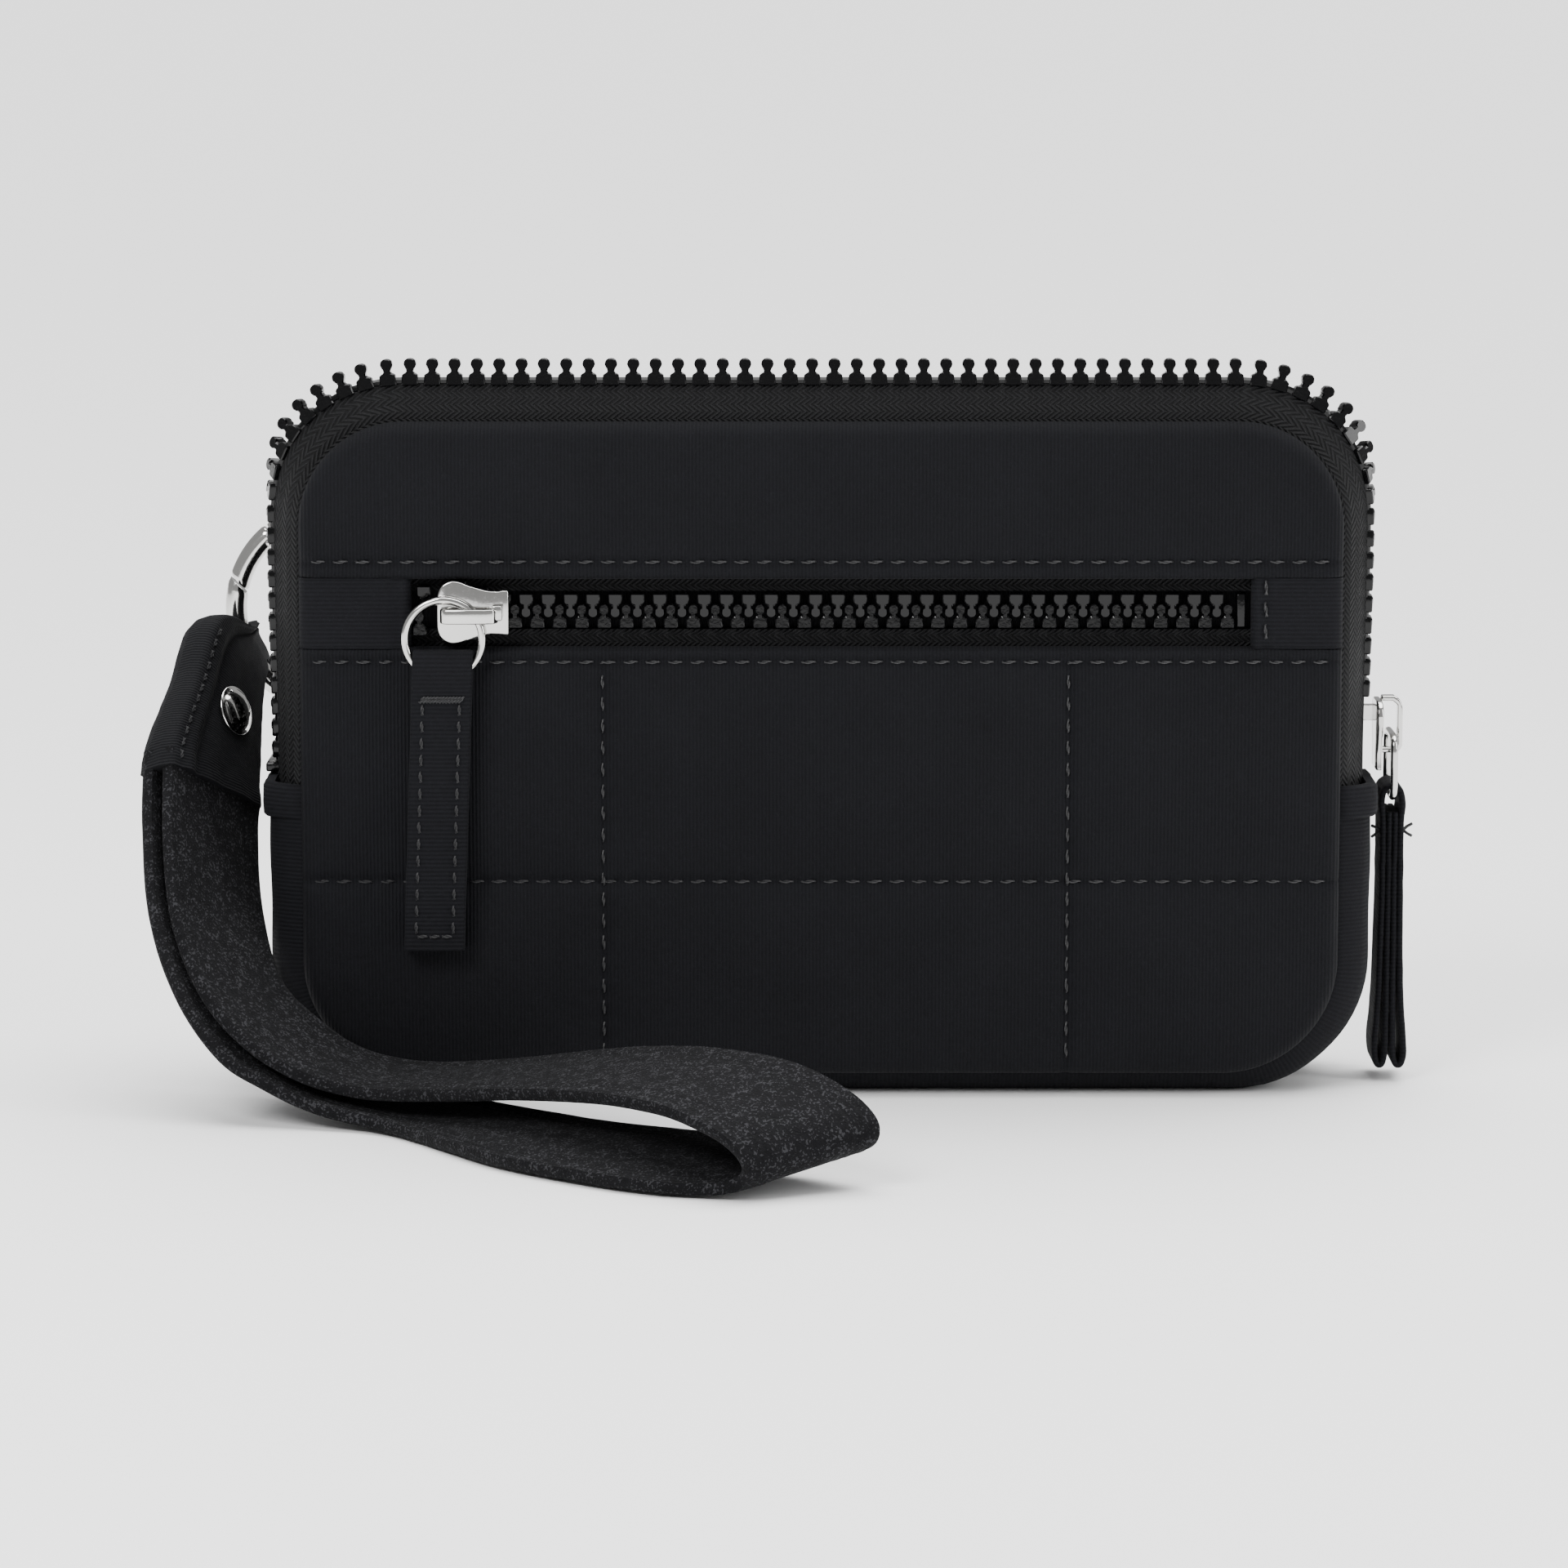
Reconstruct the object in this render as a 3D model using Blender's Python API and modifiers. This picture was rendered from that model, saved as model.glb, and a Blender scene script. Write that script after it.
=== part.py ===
"""Zippered pouch with a wrist strap: every sewn, moulded and turned piece as its own solid.

Metres, +Z up, +X to the right seen from the front, the front faces -Y.
The origin is the middle of the flat bottom, on the surface that the pouch stands on.
"""
import math

import bmesh
import bpy
from mathutils import Matrix, Vector

MM = 0.001

# Driving sizes, in millimetres
SEAM_HALF_WIDTH = 89.1      # side seams of the front and back panels
SEAM_BOTTOM = 3.8
SEAM_TOP = 116.7
BOTTOM_CORNER = 20.0
TOP_CORNER = 18.0
HALF_WIDTH = 95.0           # outermost point of the gusset
PANEL_FACE = 19.5           # outer face of the front and back panels, from the middle plane
PANEL_THICK = 2.4
GUSSET_THICK = 1.4
ZIP_END = 52.4              # height of both ends of the main zip
GAP = 0.3                   # clearance between pieces that touch

PITCH = 3.80                # tooth pitch of both zips
TOOTH_LENGTH = 1.45
TAPE_THICK = 0.8

WINDOW_LEFT, WINDOW_RIGHT = -69.9, 73.4
WINDOW_LOW, WINDOW_HIGH = 78.2, 89.9
CHAIN_Z = 84.4
POCKET_SLIDER_X = -59.3

RING_CENTRE = Vector((-86.5, 24.0, 79.5))
RING_RADIUS = 17.2
RING_WIRE = 1.9
GATE_HINGE, GATE_TIP = 127.5, 166.0     # degrees round the ring, from +X towards +Z
GATE_SLANT = math.radians(30)
GATE_PIN_INSET = 1.0                    # the gate's pin sits inside the wire's middle line

SLIDER_Z, SLIDER_LENGTH = 60.7, 12.4
WEBBING_THICK = 2.4
RIVET_AT = Vector((-105.8, 5.2, 62.8))

# The loop of webbing, out along the floor and back: near edge and far edge of each station
WEBBING = [
    ((-115.8, -13.3, 59.6), (-102.1, 5.2, 47.2)),
    ((-115.6, -20.3, 46.3), (-102.2, 0.8, 41.8)),
    ((-113.6, -28.5, 32.0), (-100.7, -7.2, 29.8)),
    ((-108.3, -36.5, 20.0), (-96.4, -18.2, 17.6)),
    ((-101.3, -41.5, 11.6), (-89.6, -22.6, 10.9)),
    ((-94.0, -44.0, 7.3), (-83.4, -22.9, 7.1)),
    ((-85.0, -45.8, 3.6), (-76.5, -22.9, 3.0)),
    ((-72.0, -51.5, 1.4), (-66.0, -27.5, 2.0)),
    ((-55.0, -74.0, 1.4), (-50.0, -50.0, 4.0)),
    ((-41.0, -86.5, 1.4), (-36.0, -62.5, 4.4)),
    ((-28.6, -94.5, 1.4), (-20.0, -71.5, 4.6)),
    ((-20.0, -97.0, 1.4), (-3.0, -80.0, 4.8)),
    ((-14.5, -98.5, 2.4), (6.5, -88.0, 7.0)),
    ((-12.8, -99.6, 5.0), (8.8, -90.0, 10.6)),
    ((-14.2, -99.8, 8.2), (4.6, -86.6, 14.6)),
    ((-18.0, -97.5, 10.8), (-5.0, -79.0, 17.9)),
    ((-25.5, -90.0, 12.6), (-17.0, -67.5, 17.6)),
    ((-36.0, -79.0, 12.3), (-29.5, -55.2, 15.4)),
    ((-49.5, -66.0, 10.2), (-45.0, -42.0, 11.2)),
    ((-64.5, -53.5, 7.4), (-59.4, -29.5, 7.4)),
    ((-78.0, -45.8, 6.3), (-71.0, -22.9, 6.4)),
    ((-88.6, -44.4, 9.2), (-79.8, -22.9, 9.0)),
    ((-97.6, -41.6, 14.4), (-86.6, -22.7, 13.8)),
    ((-104.9, -36.6, 22.0), (-93.2, -18.6, 19.8)),
    ((-110.1, -28.8, 33.0), (-97.5, -8.2, 30.8)),
    ((-112.0, -21.2, 47.0), (-98.8, -0.4, 42.6)),
    ((-112.4, -14.6, 60.4), (-98.7, 3.9, 48.0)),
]

# The fabric tab that carries the webbing: middle, direction across, width and thickness
STRAP_TAB = [
    ((-102.9, 27.8, 73.5), (0.34, 0.00, -0.94), 14.0, 6.6),
    ((-103.1, 20.6, 73.2), (0.34, 0.00, -0.94), 14.5, 6.8),
    ((-104.2, 13.6, 70.2), (0.42, 0.30, -0.85), 17.0, 6.8),
    ((-105.8, 5.2, 62.8), (0.50, 0.52, -0.69), 21.5, 7.0),
    ((-107.3, -2.7, 55.5), (0.53, 0.71, -0.47), 25.4, 7.6),
]

COLOURS = {
    "fabric": ((0.012, 0.012, 0.015), 0.85, 0.0),
    "tape": ((0.014, 0.014, 0.017), 0.9, 0.0),
    "plastic": ((0.010, 0.010, 0.011), 0.25, 0.0),
    "nickel": ((0.78, 0.77, 0.75), 0.14, 1.0),
    "webbing": ((0.022, 0.022, 0.025), 0.95, 0.0),
    "lining": ((0.02, 0.02, 0.024), 0.7, 0.0),
}


# ---------- helpers ----------

def clear_scene():
    for obj in list(bpy.data.objects):
        bpy.data.objects.remove(obj, do_unlink=True)


def new_collection(name):
    collection = bpy.data.collections.new(name)
    bpy.context.scene.collection.children.link(collection)
    return collection


def make_material(name, kind):
    colour, roughness, metallic = COLOURS[kind]
    material = bpy.data.materials.new(name)
    material.use_nodes = True
    shader = material.node_tree.nodes["Principled BSDF"]
    shader.inputs["Base Color"].default_value = (*colour, 1)
    shader.inputs["Roughness"].default_value = roughness
    shader.inputs["Metallic"].default_value = metallic
    material.diffuse_color = (*colour, 1)
    return material


def add_part(name, data, kind):
    """Link one sub-part to the pouch's collection with a material of its own."""
    obj = bpy.data.objects.new(name, data)
    data.name = name
    PARTS.objects.link(obj)
    data.materials.append(make_material(name, kind))
    return obj


def mesh_from_bmesh(bm):
    bmesh.ops.recalc_face_normals(bm, faces=bm.faces)
    mesh = bpy.data.meshes.new("mesh")
    bm.to_mesh(mesh)
    bm.free()
    return mesh


def box(name, low, high, kind, bevel=0.0):
    """A box between two corners, with its edges rounded by a bevel."""
    low, high = Vector(low), Vector(high)
    bm = bmesh.new()
    bmesh.ops.create_cube(bm, size=1)
    bmesh.ops.scale(bm, vec=(high - low) * MM, verts=bm.verts)
    obj = add_part(name, mesh_from_bmesh(bm), kind)
    obj.location = (low + high) / 2 * MM
    if bevel:
        modifier = obj.modifiers.new("edges", "BEVEL")
        modifier.width = bevel * MM
        modifier.segments = 1
    return obj


def flat_outline(name, outlines, plane, thickness, centre, kind):
    """A flat piece: closed outlines in millimetres, filled, and given a thickness.

    plane names the two axes that the outlines are drawn in, and centre is the
    position of the middle of the thickness along the third one.
    """
    axes = {"XZ": (0, 2, 1), "YZ": (1, 2, 0), "XY": (0, 1, 2)}[plane]
    curve = bpy.data.curves.new(name, "CURVE")
    curve.dimensions = "2D"
    curve.fill_mode = "BOTH"
    curve.extrude = thickness / 2 * MM
    for outline in outlines:
        spline = curve.splines.new("POLY")
        spline.points.add(len(outline) - 1)
        for point, (u, v) in zip(spline.points, outline):
            point.co = (u * MM, v * MM, 0, 1)
        spline.use_cyclic_u = True
    across, up = Vector((0, 0, 0)), Vector((0, 0, 0))
    across[axes[0]], up[axes[1]] = 1, 1
    basis = Matrix((across, up, across.cross(up))).transposed()
    obj = add_part(name, curve, kind)
    offset = Vector((0, 0, 0))
    offset[axes[2]] = centre * MM
    obj.matrix_world = Matrix.Translation(offset) @ basis.to_4x4()
    return obj


def to_mesh(obj):
    """Turn a curve into a mesh object with welded caps, so that it can be cut."""
    bpy.context.view_layer.update()
    graph = bpy.context.evaluated_depsgraph_get()
    mesh = bpy.data.meshes.new_from_object(obj.evaluated_get(graph))
    bm = bmesh.new()
    bm.from_mesh(mesh)
    bmesh.ops.remove_doubles(bm, verts=bm.verts, dist=0.00002)
    bmesh.ops.recalc_face_normals(bm, faces=bm.faces)
    bm.to_mesh(mesh)
    bm.free()
    name, place = obj.name, obj.matrix_world.copy()
    curve = obj.data
    bpy.data.objects.remove(obj)
    bpy.data.curves.remove(curve)
    solid = bpy.data.objects.new(name, mesh)
    mesh.name = name
    PARTS.objects.link(solid)
    solid.matrix_world = place
    return solid


def tube(name, points, radius, kind, cyclic=False, sides=2):
    """A round wire along a list of points."""
    curve = bpy.data.curves.new(name, "CURVE")
    curve.dimensions = "3D"
    curve.bevel_depth = radius * MM
    curve.bevel_resolution = sides
    curve.use_fill_caps = True
    spline = curve.splines.new("POLY")
    spline.points.add(len(points) - 1)
    for point, place in zip(spline.points, points):
        point.co = (*(Vector(place) * MM), 1)
    spline.use_cyclic_u = cyclic
    return add_part(name, curve, kind)


def loft(name, sections, kind):
    """A closed solid through a row of sections that all have the same number of points."""
    bm = bmesh.new()
    rings = [[bm.verts.new(Vector(p) * MM) for p in section] for section in sections]
    for ring, after in zip(rings, rings[1:]):
        for i in range(len(ring)):
            j = (i + 1) % len(ring)
            bm.faces.new((ring[i], ring[j], after[j], after[i]))
    bm.faces.new(rings[0])
    bm.faces.new(rings[-1])
    return add_part(name, mesh_from_bmesh(bm), kind)


def cut(obj, cutter):
    """Take the cutter's shape out of a part, and keep the cutter hidden."""
    modifier = obj.modifiers.new("cut", "BOOLEAN")
    modifier.object = cutter
    modifier.solver = "EXACT"
    PARTS.objects.unlink(cutter)
    CUTTERS.objects.link(cutter)
    cutter.hide_render = True
    cutter.display_type = "WIRE"


def smooth(obj, angle=35):
    obj.data.shade_smooth()
    obj.data.set_sharp_from_angle(angle=math.radians(angle))
    return obj


def curve_through(points, steps):
    """More points along a smooth curve through the given ones."""
    ends = [points[0] * 2 - points[1]] + points + [points[-1] * 2 - points[-2]]
    result = []
    for i in range(1, len(ends) - 2):
        a, b, c, d = ends[i - 1:i + 3]
        for k in range(steps):
            t = k / steps
            result.append(0.5 * (2 * b + (c - a) * t + (2 * a - 5 * b + 4 * c - d) * t * t
                                 + (3 * b - a - 3 * c + d) * t ** 3))
    return result + [points[-1]]


def rounded_outline(inset, low=SEAM_BOTTOM, high=SEAM_TOP, steps=6):
    """The seam outline in X and Z, moved inwards by inset and kept between two heights.

    A height inside the outline gives a straight edge there, without a corner radius.
    """
    half = SEAM_HALF_WIDTH - inset
    bottom, top = max(low, SEAM_BOTTOM + inset), min(high, SEAM_TOP - inset)
    corners = []
    for x, z, radius, start in (
        (half, bottom, BOTTOM_CORNER - inset if low <= SEAM_BOTTOM else 0, 270),
        (half, top, TOP_CORNER - inset if high >= SEAM_TOP else 0, 0),
        (-half, top, TOP_CORNER - inset if high >= SEAM_TOP else 0, 90),
        (-half, bottom, BOTTOM_CORNER - inset if low <= SEAM_BOTTOM else 0, 180),
    ):
        if radius == 0:
            corners.append((x, z))
            continue
        centre_x = x - math.copysign(radius, x)
        centre_z = z + radius if z == bottom else z - radius
        for k in range(steps + 1):
            angle = math.radians(start + 90 * k / steps)
            corners.append((centre_x + radius * math.cos(angle), centre_z + radius * math.sin(angle)))
    return corners


def seam_route(end_z, over_top, corner_steps):
    """Points and outward directions along the seam from the left side to the right side."""
    if over_top:
        radius, edge_z, turn = TOP_CORNER, SEAM_TOP, 1
    else:
        radius, edge_z, turn = BOTTOM_CORNER, SEAM_BOTTOM, -1
    centre_z = edge_z - turn * radius
    centre_x = SEAM_HALF_WIDTH - radius
    route = [(Vector((-SEAM_HALF_WIDTH, 0, end_z)), Vector((-1, 0, 0)))]
    for side in (-1, 1):
        for k in range(corner_steps + 1):
            part = k / corner_steps if side < 0 else 1 - k / corner_steps
            angle = math.radians(90 * part)
            outward = Vector((side * math.cos(angle), 0, turn * math.sin(angle)))
            route.append((Vector((side * centre_x, 0, centre_z)) + outward * radius, outward))
    route.append((Vector((SEAM_HALF_WIDTH, 0, end_z)), Vector((1, 0, 0))))
    return route


def even_route(route, spacing):
    """The same route with points at an even spacing."""
    lengths = [0.0]
    for (a, _), (b, _) in zip(route, route[1:]):
        lengths.append(lengths[-1] + (b - a).length)
    count = max(2, round(lengths[-1] / spacing))
    result, i = [], 0
    for k in range(count + 1):
        place = lengths[-1] * k / count
        while i < len(route) - 2 and lengths[i + 1] < place:
            i += 1
        t = (place - lengths[i]) / (lengths[i + 1] - lengths[i])
        point = route[i][0].lerp(route[i + 1][0], t)
        outward = route[i][1].lerp(route[i + 1][1], t).normalized()
        result.append((point, outward))
    return result


def ease(value):
    value = min(1.0, max(0.0, value))
    return value * value * (3 - 2 * value)


# ---------- shell of the pouch ----------

def make_panels():
    """Two flat panels; the front one is cut in two by the pocket's zip window."""
    y = PANEL_FACE - PANEL_THICK / 2
    lower = rounded_outline(0, high=WINDOW_LOW)
    upper = rounded_outline(0, low=WINDOW_HIGH)
    flat_outline("front_panel_lower", [lower], "XZ", PANEL_THICK, -y, "fabric")
    flat_outline("front_panel_upper", [upper], "XZ", PANEL_THICK, -y, "fabric")
    flat_outline("back_panel", [rounded_outline(0)], "XZ", PANEL_THICK, y, "fabric")
    low, high = WINDOW_LOW + GAP, WINDOW_HIGH - GAP
    front, back = -PANEL_FACE + 0.2, -PANEL_FACE + PANEL_THICK
    box("pocket_end_left", (-SEAM_HALF_WIDTH, front, low), (WINDOW_LEFT, back, high), "fabric", 0.4)
    box("pocket_end_right", (WINDOW_RIGHT, front, low), (SEAM_HALF_WIDTH, back, high), "fabric", 0.4)


def make_linings():
    flat_outline("front_lining", [rounded_outline(4, steps=4)], "XZ", 0.6, -12.9, "lining")
    flat_outline("back_lining", [rounded_outline(4, steps=4)], "XZ", 0.6, 16.0, "lining")
    bag = [(-76, 18), (76, 18), (76, 97), (-76, 97)]
    flat_outline("pocket_bag", [bag], "XZ", 0.5, -13.9, "lining")


def make_gusset():
    """The band between the panels, below the zip: bulged outwards, flat where it stands."""
    across = [(-16.8, 0.0), (-15.4, 0.62), (-12.0, 1.0), (0.0, 1.0), (12.0, 1.0), (15.4, 0.62), (16.8, 0.0)]
    route = even_route(seam_route(ZIP_END - 0.5, False, 8), 9.0)
    sections = []
    for point, outward in route:
        reach = SEAM_BOTTOM + (HALF_WIDTH - SEAM_HALF_WIDTH - SEAM_BOTTOM) * abs(outward.x)
        outer = [point + outward * (reach * f) + Vector((0, y, 0)) for y, f in across]
        inner = [p - outward * GUSSET_THICK for p in reversed(outer)]
        sections.append(outer + inner)
    loft("gusset", sections, "fabric")


# ---------- main zip ----------

def zip_edge(point, outward, side):
    """Where a tape's toothed edge runs and where its teeth point: front tape -1, back tape 1.

    Both edges meet at the zip's ends. Down the sides the teeth point at each other.
    Along the top the front edge stands up and the back edge turns in over the mouth.
    """
    opened = ease((point.z - ZIP_END - 4) / 40)
    top = ease(outward.z)
    if side < 0:
        edge = point + outward * (4.7 + 2.1 * top) + Vector((0, -4.8 - 4.5 * opened - 4.9 * top, 0))
        rise = outward * (0.1 + 0.88 * top) + Vector((0, 1.0 - 0.95 * top, 0))
    else:
        edge = point + outward * (4.7 - 2.2 * top) + Vector((0, 4.8 + 3.7 * opened, 0))
        rise = outward * 0.1 - Vector((0, 1, 0))
    return edge, rise.normalized()


def zip_frames(side, spacing):
    frames = []
    for point, outward in even_route(seam_route(ZIP_END + 0.3, True, 10), spacing):
        knee = point + Vector((0, side * 16.4, 0))
        edge, rise = zip_edge(point, outward, side)
        frames.append((point, outward, knee, edge, rise))
    return frames


def make_main_tape(side, name):
    """Woven tape: sewn flat behind the panel, then standing out to its toothed edge."""
    sections = []
    frames = zip_frames(side, 8.0)
    for i, (_, outward, knee, edge, rise) in enumerate(frames):
        after = frames[min(i + 1, len(frames) - 1)][3]
        before = frames[max(i - 1, 0)][3]
        normal = (after - before).cross(edge - knee).normalized() * (TAPE_THICK / 2)
        flat = Vector((0, TAPE_THICK / 2, 0))
        if normal.y < 0:
            normal = -normal
        hidden = knee - outward * 3
        end = edge - (edge - knee).normalized() * 1.7
        sections.append([hidden - flat, knee - flat, end - normal, end + normal, knee + flat, hidden + flat])
    loft(name, sections, "tape")


def make_main_teeth(side, name):
    """One row of moulded teeth on the bead of the tape, as one comb."""
    frames = [f for f in zip_frames(side, PITCH / 4)
              if f[0].z > ZIP_END + 4.5 and (f[0].x < 0 or f[0].z > SLIDER_Z + 7.5)]
    sections = []
    for i in range(0, len(frames) - 4, 4):
        edges = [frames[i][3], frames[i + 4][3]]
        rise = (frames[i][4] + frames[i + 2][4]).normalized()
        along = edges[1] - edges[0]
        normal = along.cross(rise).normalized()
        share = TOOTH_LENGTH / along.length
        for part, tall in ((0, False), (0.001, True), (share, True), (share + 0.001, False)):
            base = edges[0] + along * part
            top, thick = (3.6, 1.2) if tall else (0.7, 0.8)
            sections.append([base - rise * 0.9 - normal * thick, base + rise * top - normal * thick,
                             base + rise * top + normal * thick, base - rise * 0.9 + normal * thick])
    loft(name, sections, "plastic")


def make_zip_ends():
    """Folded covers over both ends of the zip, and the stop below the first teeth."""
    box("zip_end_cover_left", (-96.7, -3.4, 48.4), (-95.3, 3.4, 54.2), "fabric", 0.3)
    box("zip_end_cover_right", (95.3, -3.4, 48.4), (96.7, 3.4, 53.9), "fabric", 0.3)
    box("main_bottom_stop", (-96.2, -5.3, 54.6), (-93.0, 5.3, 56.2), "plastic", 0.3)


def make_slider_body(name, centre, outward_axis, plates, width, length, kind="nickel"):
    """Two plates joined by a post: an I section, as long as the slider."""
    outer, outer_in, inner_in, inner = plates
    half, post = width / 2, 1.1
    outline = [(outer, -half), (outer, half), (outer_in, half), (outer_in, post), (inner_in, post),
               (inner_in, half - 0.9), (inner, half - 0.9), (inner, -half + 0.9), (inner_in, -half + 0.9),
               (inner_in, -post), (outer_in, -post), (outer_in, -half)]
    if outward_axis == "X":
        return flat_outline(name, [outline], "XY", length, centre, kind)
    return flat_outline(name, [[(y, CHAIN_Z + z) for y, z in outline]], "YZ", length, centre, kind)


def arch(start, end, base, height, thick):
    """A flat bridge seen from its side: feet, rounded shoulders and a straight top."""
    return [(start, base), (start, base + height * 0.55), (start + 1.3, base + height),
            (end - 1.3, base + height), (end, base + height * 0.55), (end, base),
            (end - thick, base), (end - thick, base + height * 0.5),
            (end - 1.9, base + height - thick), (start + 1.9, base + height - thick),
            (start + thick, base + height * 0.5), (start + thick, base)]


def squared(value):
    """Pushes a circle's sine or cosine outwards, towards a rounded square."""
    return math.copysign(math.sqrt(abs(value)), value)


def make_main_slider():
    """The slider at the right-hand end, its bridge, pull ring and fabric pull tab."""
    make_slider_body("main_slider_body", SLIDER_Z, "X", (97.7, 96.6, 92.6, 91.6), 10.8, SLIDER_LENGTH)
    outline = [(out, z) for z, out in arch(57.3, 67.3, 98.0, 3.4, 0.9)]
    flat_outline("main_slider_bridge", [outline], "XZ", 2.6, 0, "nickel")
    ring = [(99.5, 6.3 * squared(math.cos(a)), 55.3 + 5.3 * squared(math.sin(a)))
            for a in (math.tau * (k + 0.5) / 32 for k in range(32))]
    tube("main_pull_ring", ring, 0.65, "nickel", cyclic=True)
    pull_tab("main_pull_tab", "XZ", 99.5, (52.4, 2.1), (51.6, 48.0), 0, 10.0, 2.2)


def pull_tab(name, plane, depth, span, eye, across, width, slab):
    """Cloth folded over the pull ring: a flat strip with an eye for the ring at its top."""
    top, bottom = span
    eye_top, eye_bottom = eye
    bulge, slot = slab + 0.1, 1.15
    outline = [(depth - slab, bottom), (depth + slab, bottom), (depth + slab, eye_bottom - 3),
               (depth + bulge, eye_bottom), (depth + bulge, eye_top), (depth + 0.9, top),
               (depth - 0.9, top), (depth - bulge, eye_top), (depth - bulge, eye_bottom),
               (depth - slab, eye_bottom - 3)]
    hole = [(depth - slot, eye_bottom), (depth - slot, eye_top - 0.3), (depth, eye_top + 0.2),
            (depth + slot, eye_top - 0.3), (depth + slot, eye_bottom)]
    return flat_outline(name, [outline, hole], plane, width, across, "fabric")


# ---------- pocket zip ----------

def make_pocket_zip():
    """A closed zip behind the window: two tapes, two meshed rows and the end stop."""
    left, right = WINDOW_LEFT - 6, WINDOW_RIGHT + 6
    box("pocket_tape_lower", (left, -16.8, 73.0), (right, -16.2, CHAIN_Z - 3.3), "tape")
    box("pocket_tape_upper", (left, -16.8, CHAIN_Z + 3.3), (right, -16.2, 95.0), "tape")
    start, end = POCKET_SLIDER_X + 7.0, WINDOW_RIGHT - 3.0
    for name, side, shift in (("pocket_teeth_lower", 1, 0.0), ("pocket_teeth_upper", -1, PITCH / 2)):
        base = CHAIN_Z - side * 3.0
        tip, bead = CHAIN_Z + side * 0.8, CHAIN_Z - side * 2.2
        outline, x = [(start + shift, base)], start + shift
        while x + TOOTH_LENGTH + 0.3 < end:
            outline += [(x, tip), (x + TOOTH_LENGTH, tip), (x + TOOTH_LENGTH, bead)]
            x += PITCH
            if x + TOOTH_LENGTH + 0.3 < end:
                outline.append((x, bead))
        outline.append((outline[-1][0], base))
        flat_outline(name, [outline], "XZ", 2.2, -17.0, "plastic")
    box("pocket_bottom_stop", (WINDOW_RIGHT - 2.5, -18.0, CHAIN_Z - 2.9),
        (WINDOW_RIGHT - 0.9, -15.8, CHAIN_Z + 2.9), "plastic", 0.3)


def make_pocket_slider():
    make_slider_body("pocket_slider_body", POCKET_SLIDER_X, "Y", (-21.0, -19.8, -15.5, -14.5), 10.9,
                     SLIDER_LENGTH)
    outline = [(x, -y) for x, y in arch(POCKET_SLIDER_X - 5.4, POCKET_SLIDER_X + 4.4, 21.3, 3.4, 0.9)]
    flat_outline("pocket_slider_bridge", [outline], "XY", 3.0, CHAIN_Z, "nickel")
    ring = [(-64.2 + 6.6 * math.cos(a), -22.4, 80.1 + 6.6 * math.sin(a))
            for a in (math.tau * k / 32 for k in range(32))]
    tube("pocket_pull_ring", ring, 0.7, "nickel", cyclic=True)
    pull_tab("pocket_pull_tab", "YZ", -22.4, (78.3, 26.5), (77.2, 72.0), -64.4, 10.3, 1.7)


# ---------- wrist strap ----------

def ring_point(degrees):
    angle = math.radians(degrees)
    return RING_CENTRE + Vector((math.cos(angle), 0, math.sin(angle))) * RING_RADIUS


def make_gate_ring():
    """A spring gate ring: the open ring, its gate and the pin that the gate turns on."""
    count = 40
    frame = [ring_point(GATE_TIP - 7 + (367 + GATE_HINGE - GATE_TIP) * k / count) for k in range(count + 1)]
    frame = to_mesh(tube("gate_ring_frame", frame, RING_WIRE, "nickel", sides=3))
    start, end = GATE_HINGE + 1.8, GATE_TIP + 6
    gate = to_mesh(tube("gate_ring_gate", [ring_point(start + (end - start) * k / 9) for k in range(10)],
                        RING_WIRE, "nickel", sides=3))

    # The gate's free end is cut on a slant, longer inside than outside, so it can swing inwards.
    tip = ring_point(GATE_TIP - 0.9)
    outward = (tip - RING_CENTRE).normalized()
    onward = (ring_point(GATE_TIP) - ring_point(GATE_TIP - 2)).normalized()
    slant = onward * math.cos(GATE_SLANT) + outward * math.sin(GATE_SLANT)
    cut(gate, rod("gate_end", tip + slant * 3.73, slant, 6, 8, "nickel", 4))
    cut(frame, rod("frame_end", tip - slant * 3.73, slant, 6, 8, "nickel", 4))

    pin_at = ring_point(GATE_HINGE + 6.0)
    pin_at += (RING_CENTRE - pin_at).normalized() * GATE_PIN_INSET
    cut(gate, rod("gate_pin_hole", pin_at, Vector((0, 1, 0)), 0.65, 6, "nickel", 16))
    rod("gate_pin", pin_at, Vector((0, 1, 0)), 0.4, 3.9, "nickel")


def rod(name, centre, axis, radius, length, kind, sides=16):
    """A short round rod, standing along an axis."""
    bm = bmesh.new()
    bmesh.ops.create_cone(bm, cap_ends=True, segments=sides, radius1=radius * MM, radius2=radius * MM,
                          depth=length * MM)
    obj = add_part(name, mesh_from_bmesh(bm), kind)
    obj.matrix_world = Matrix.Translation(centre * MM) @ axis.to_track_quat("Z", "Y").to_matrix().to_4x4()
    return smooth(obj)


def make_side_loop():
    """A cloth loop sewn to the back panel's top corner seam; the ring hangs in it."""
    y, z = RING_CENTRE.y, RING_CENTRE.z + RING_RADIUS - 0.4
    outer, inner = 3.6, 2.5
    around = [math.radians(180 + 180 * k / 8) for k in range(9)]
    loop = [(y + outer * math.cos(a), z + outer * math.sin(a)) for a in around]
    loop += [(y + outer, z + 2.5), (22.6, z + 7.5), (22.4, 110), (19.8, 110), (19.8, z + 5.5),
             (y - outer, z + 1.5)]
    hole = [(y + inner * math.cos(a), z + inner * math.sin(a)) for a in around]
    hole += [(y + inner, z + 1.6), (y, z + 4.6), (y - inner, z + 1.6)]
    flat_outline("side_loop", [loop, hole], "YZ", 8, RING_CENTRE.x, "fabric")


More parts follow.
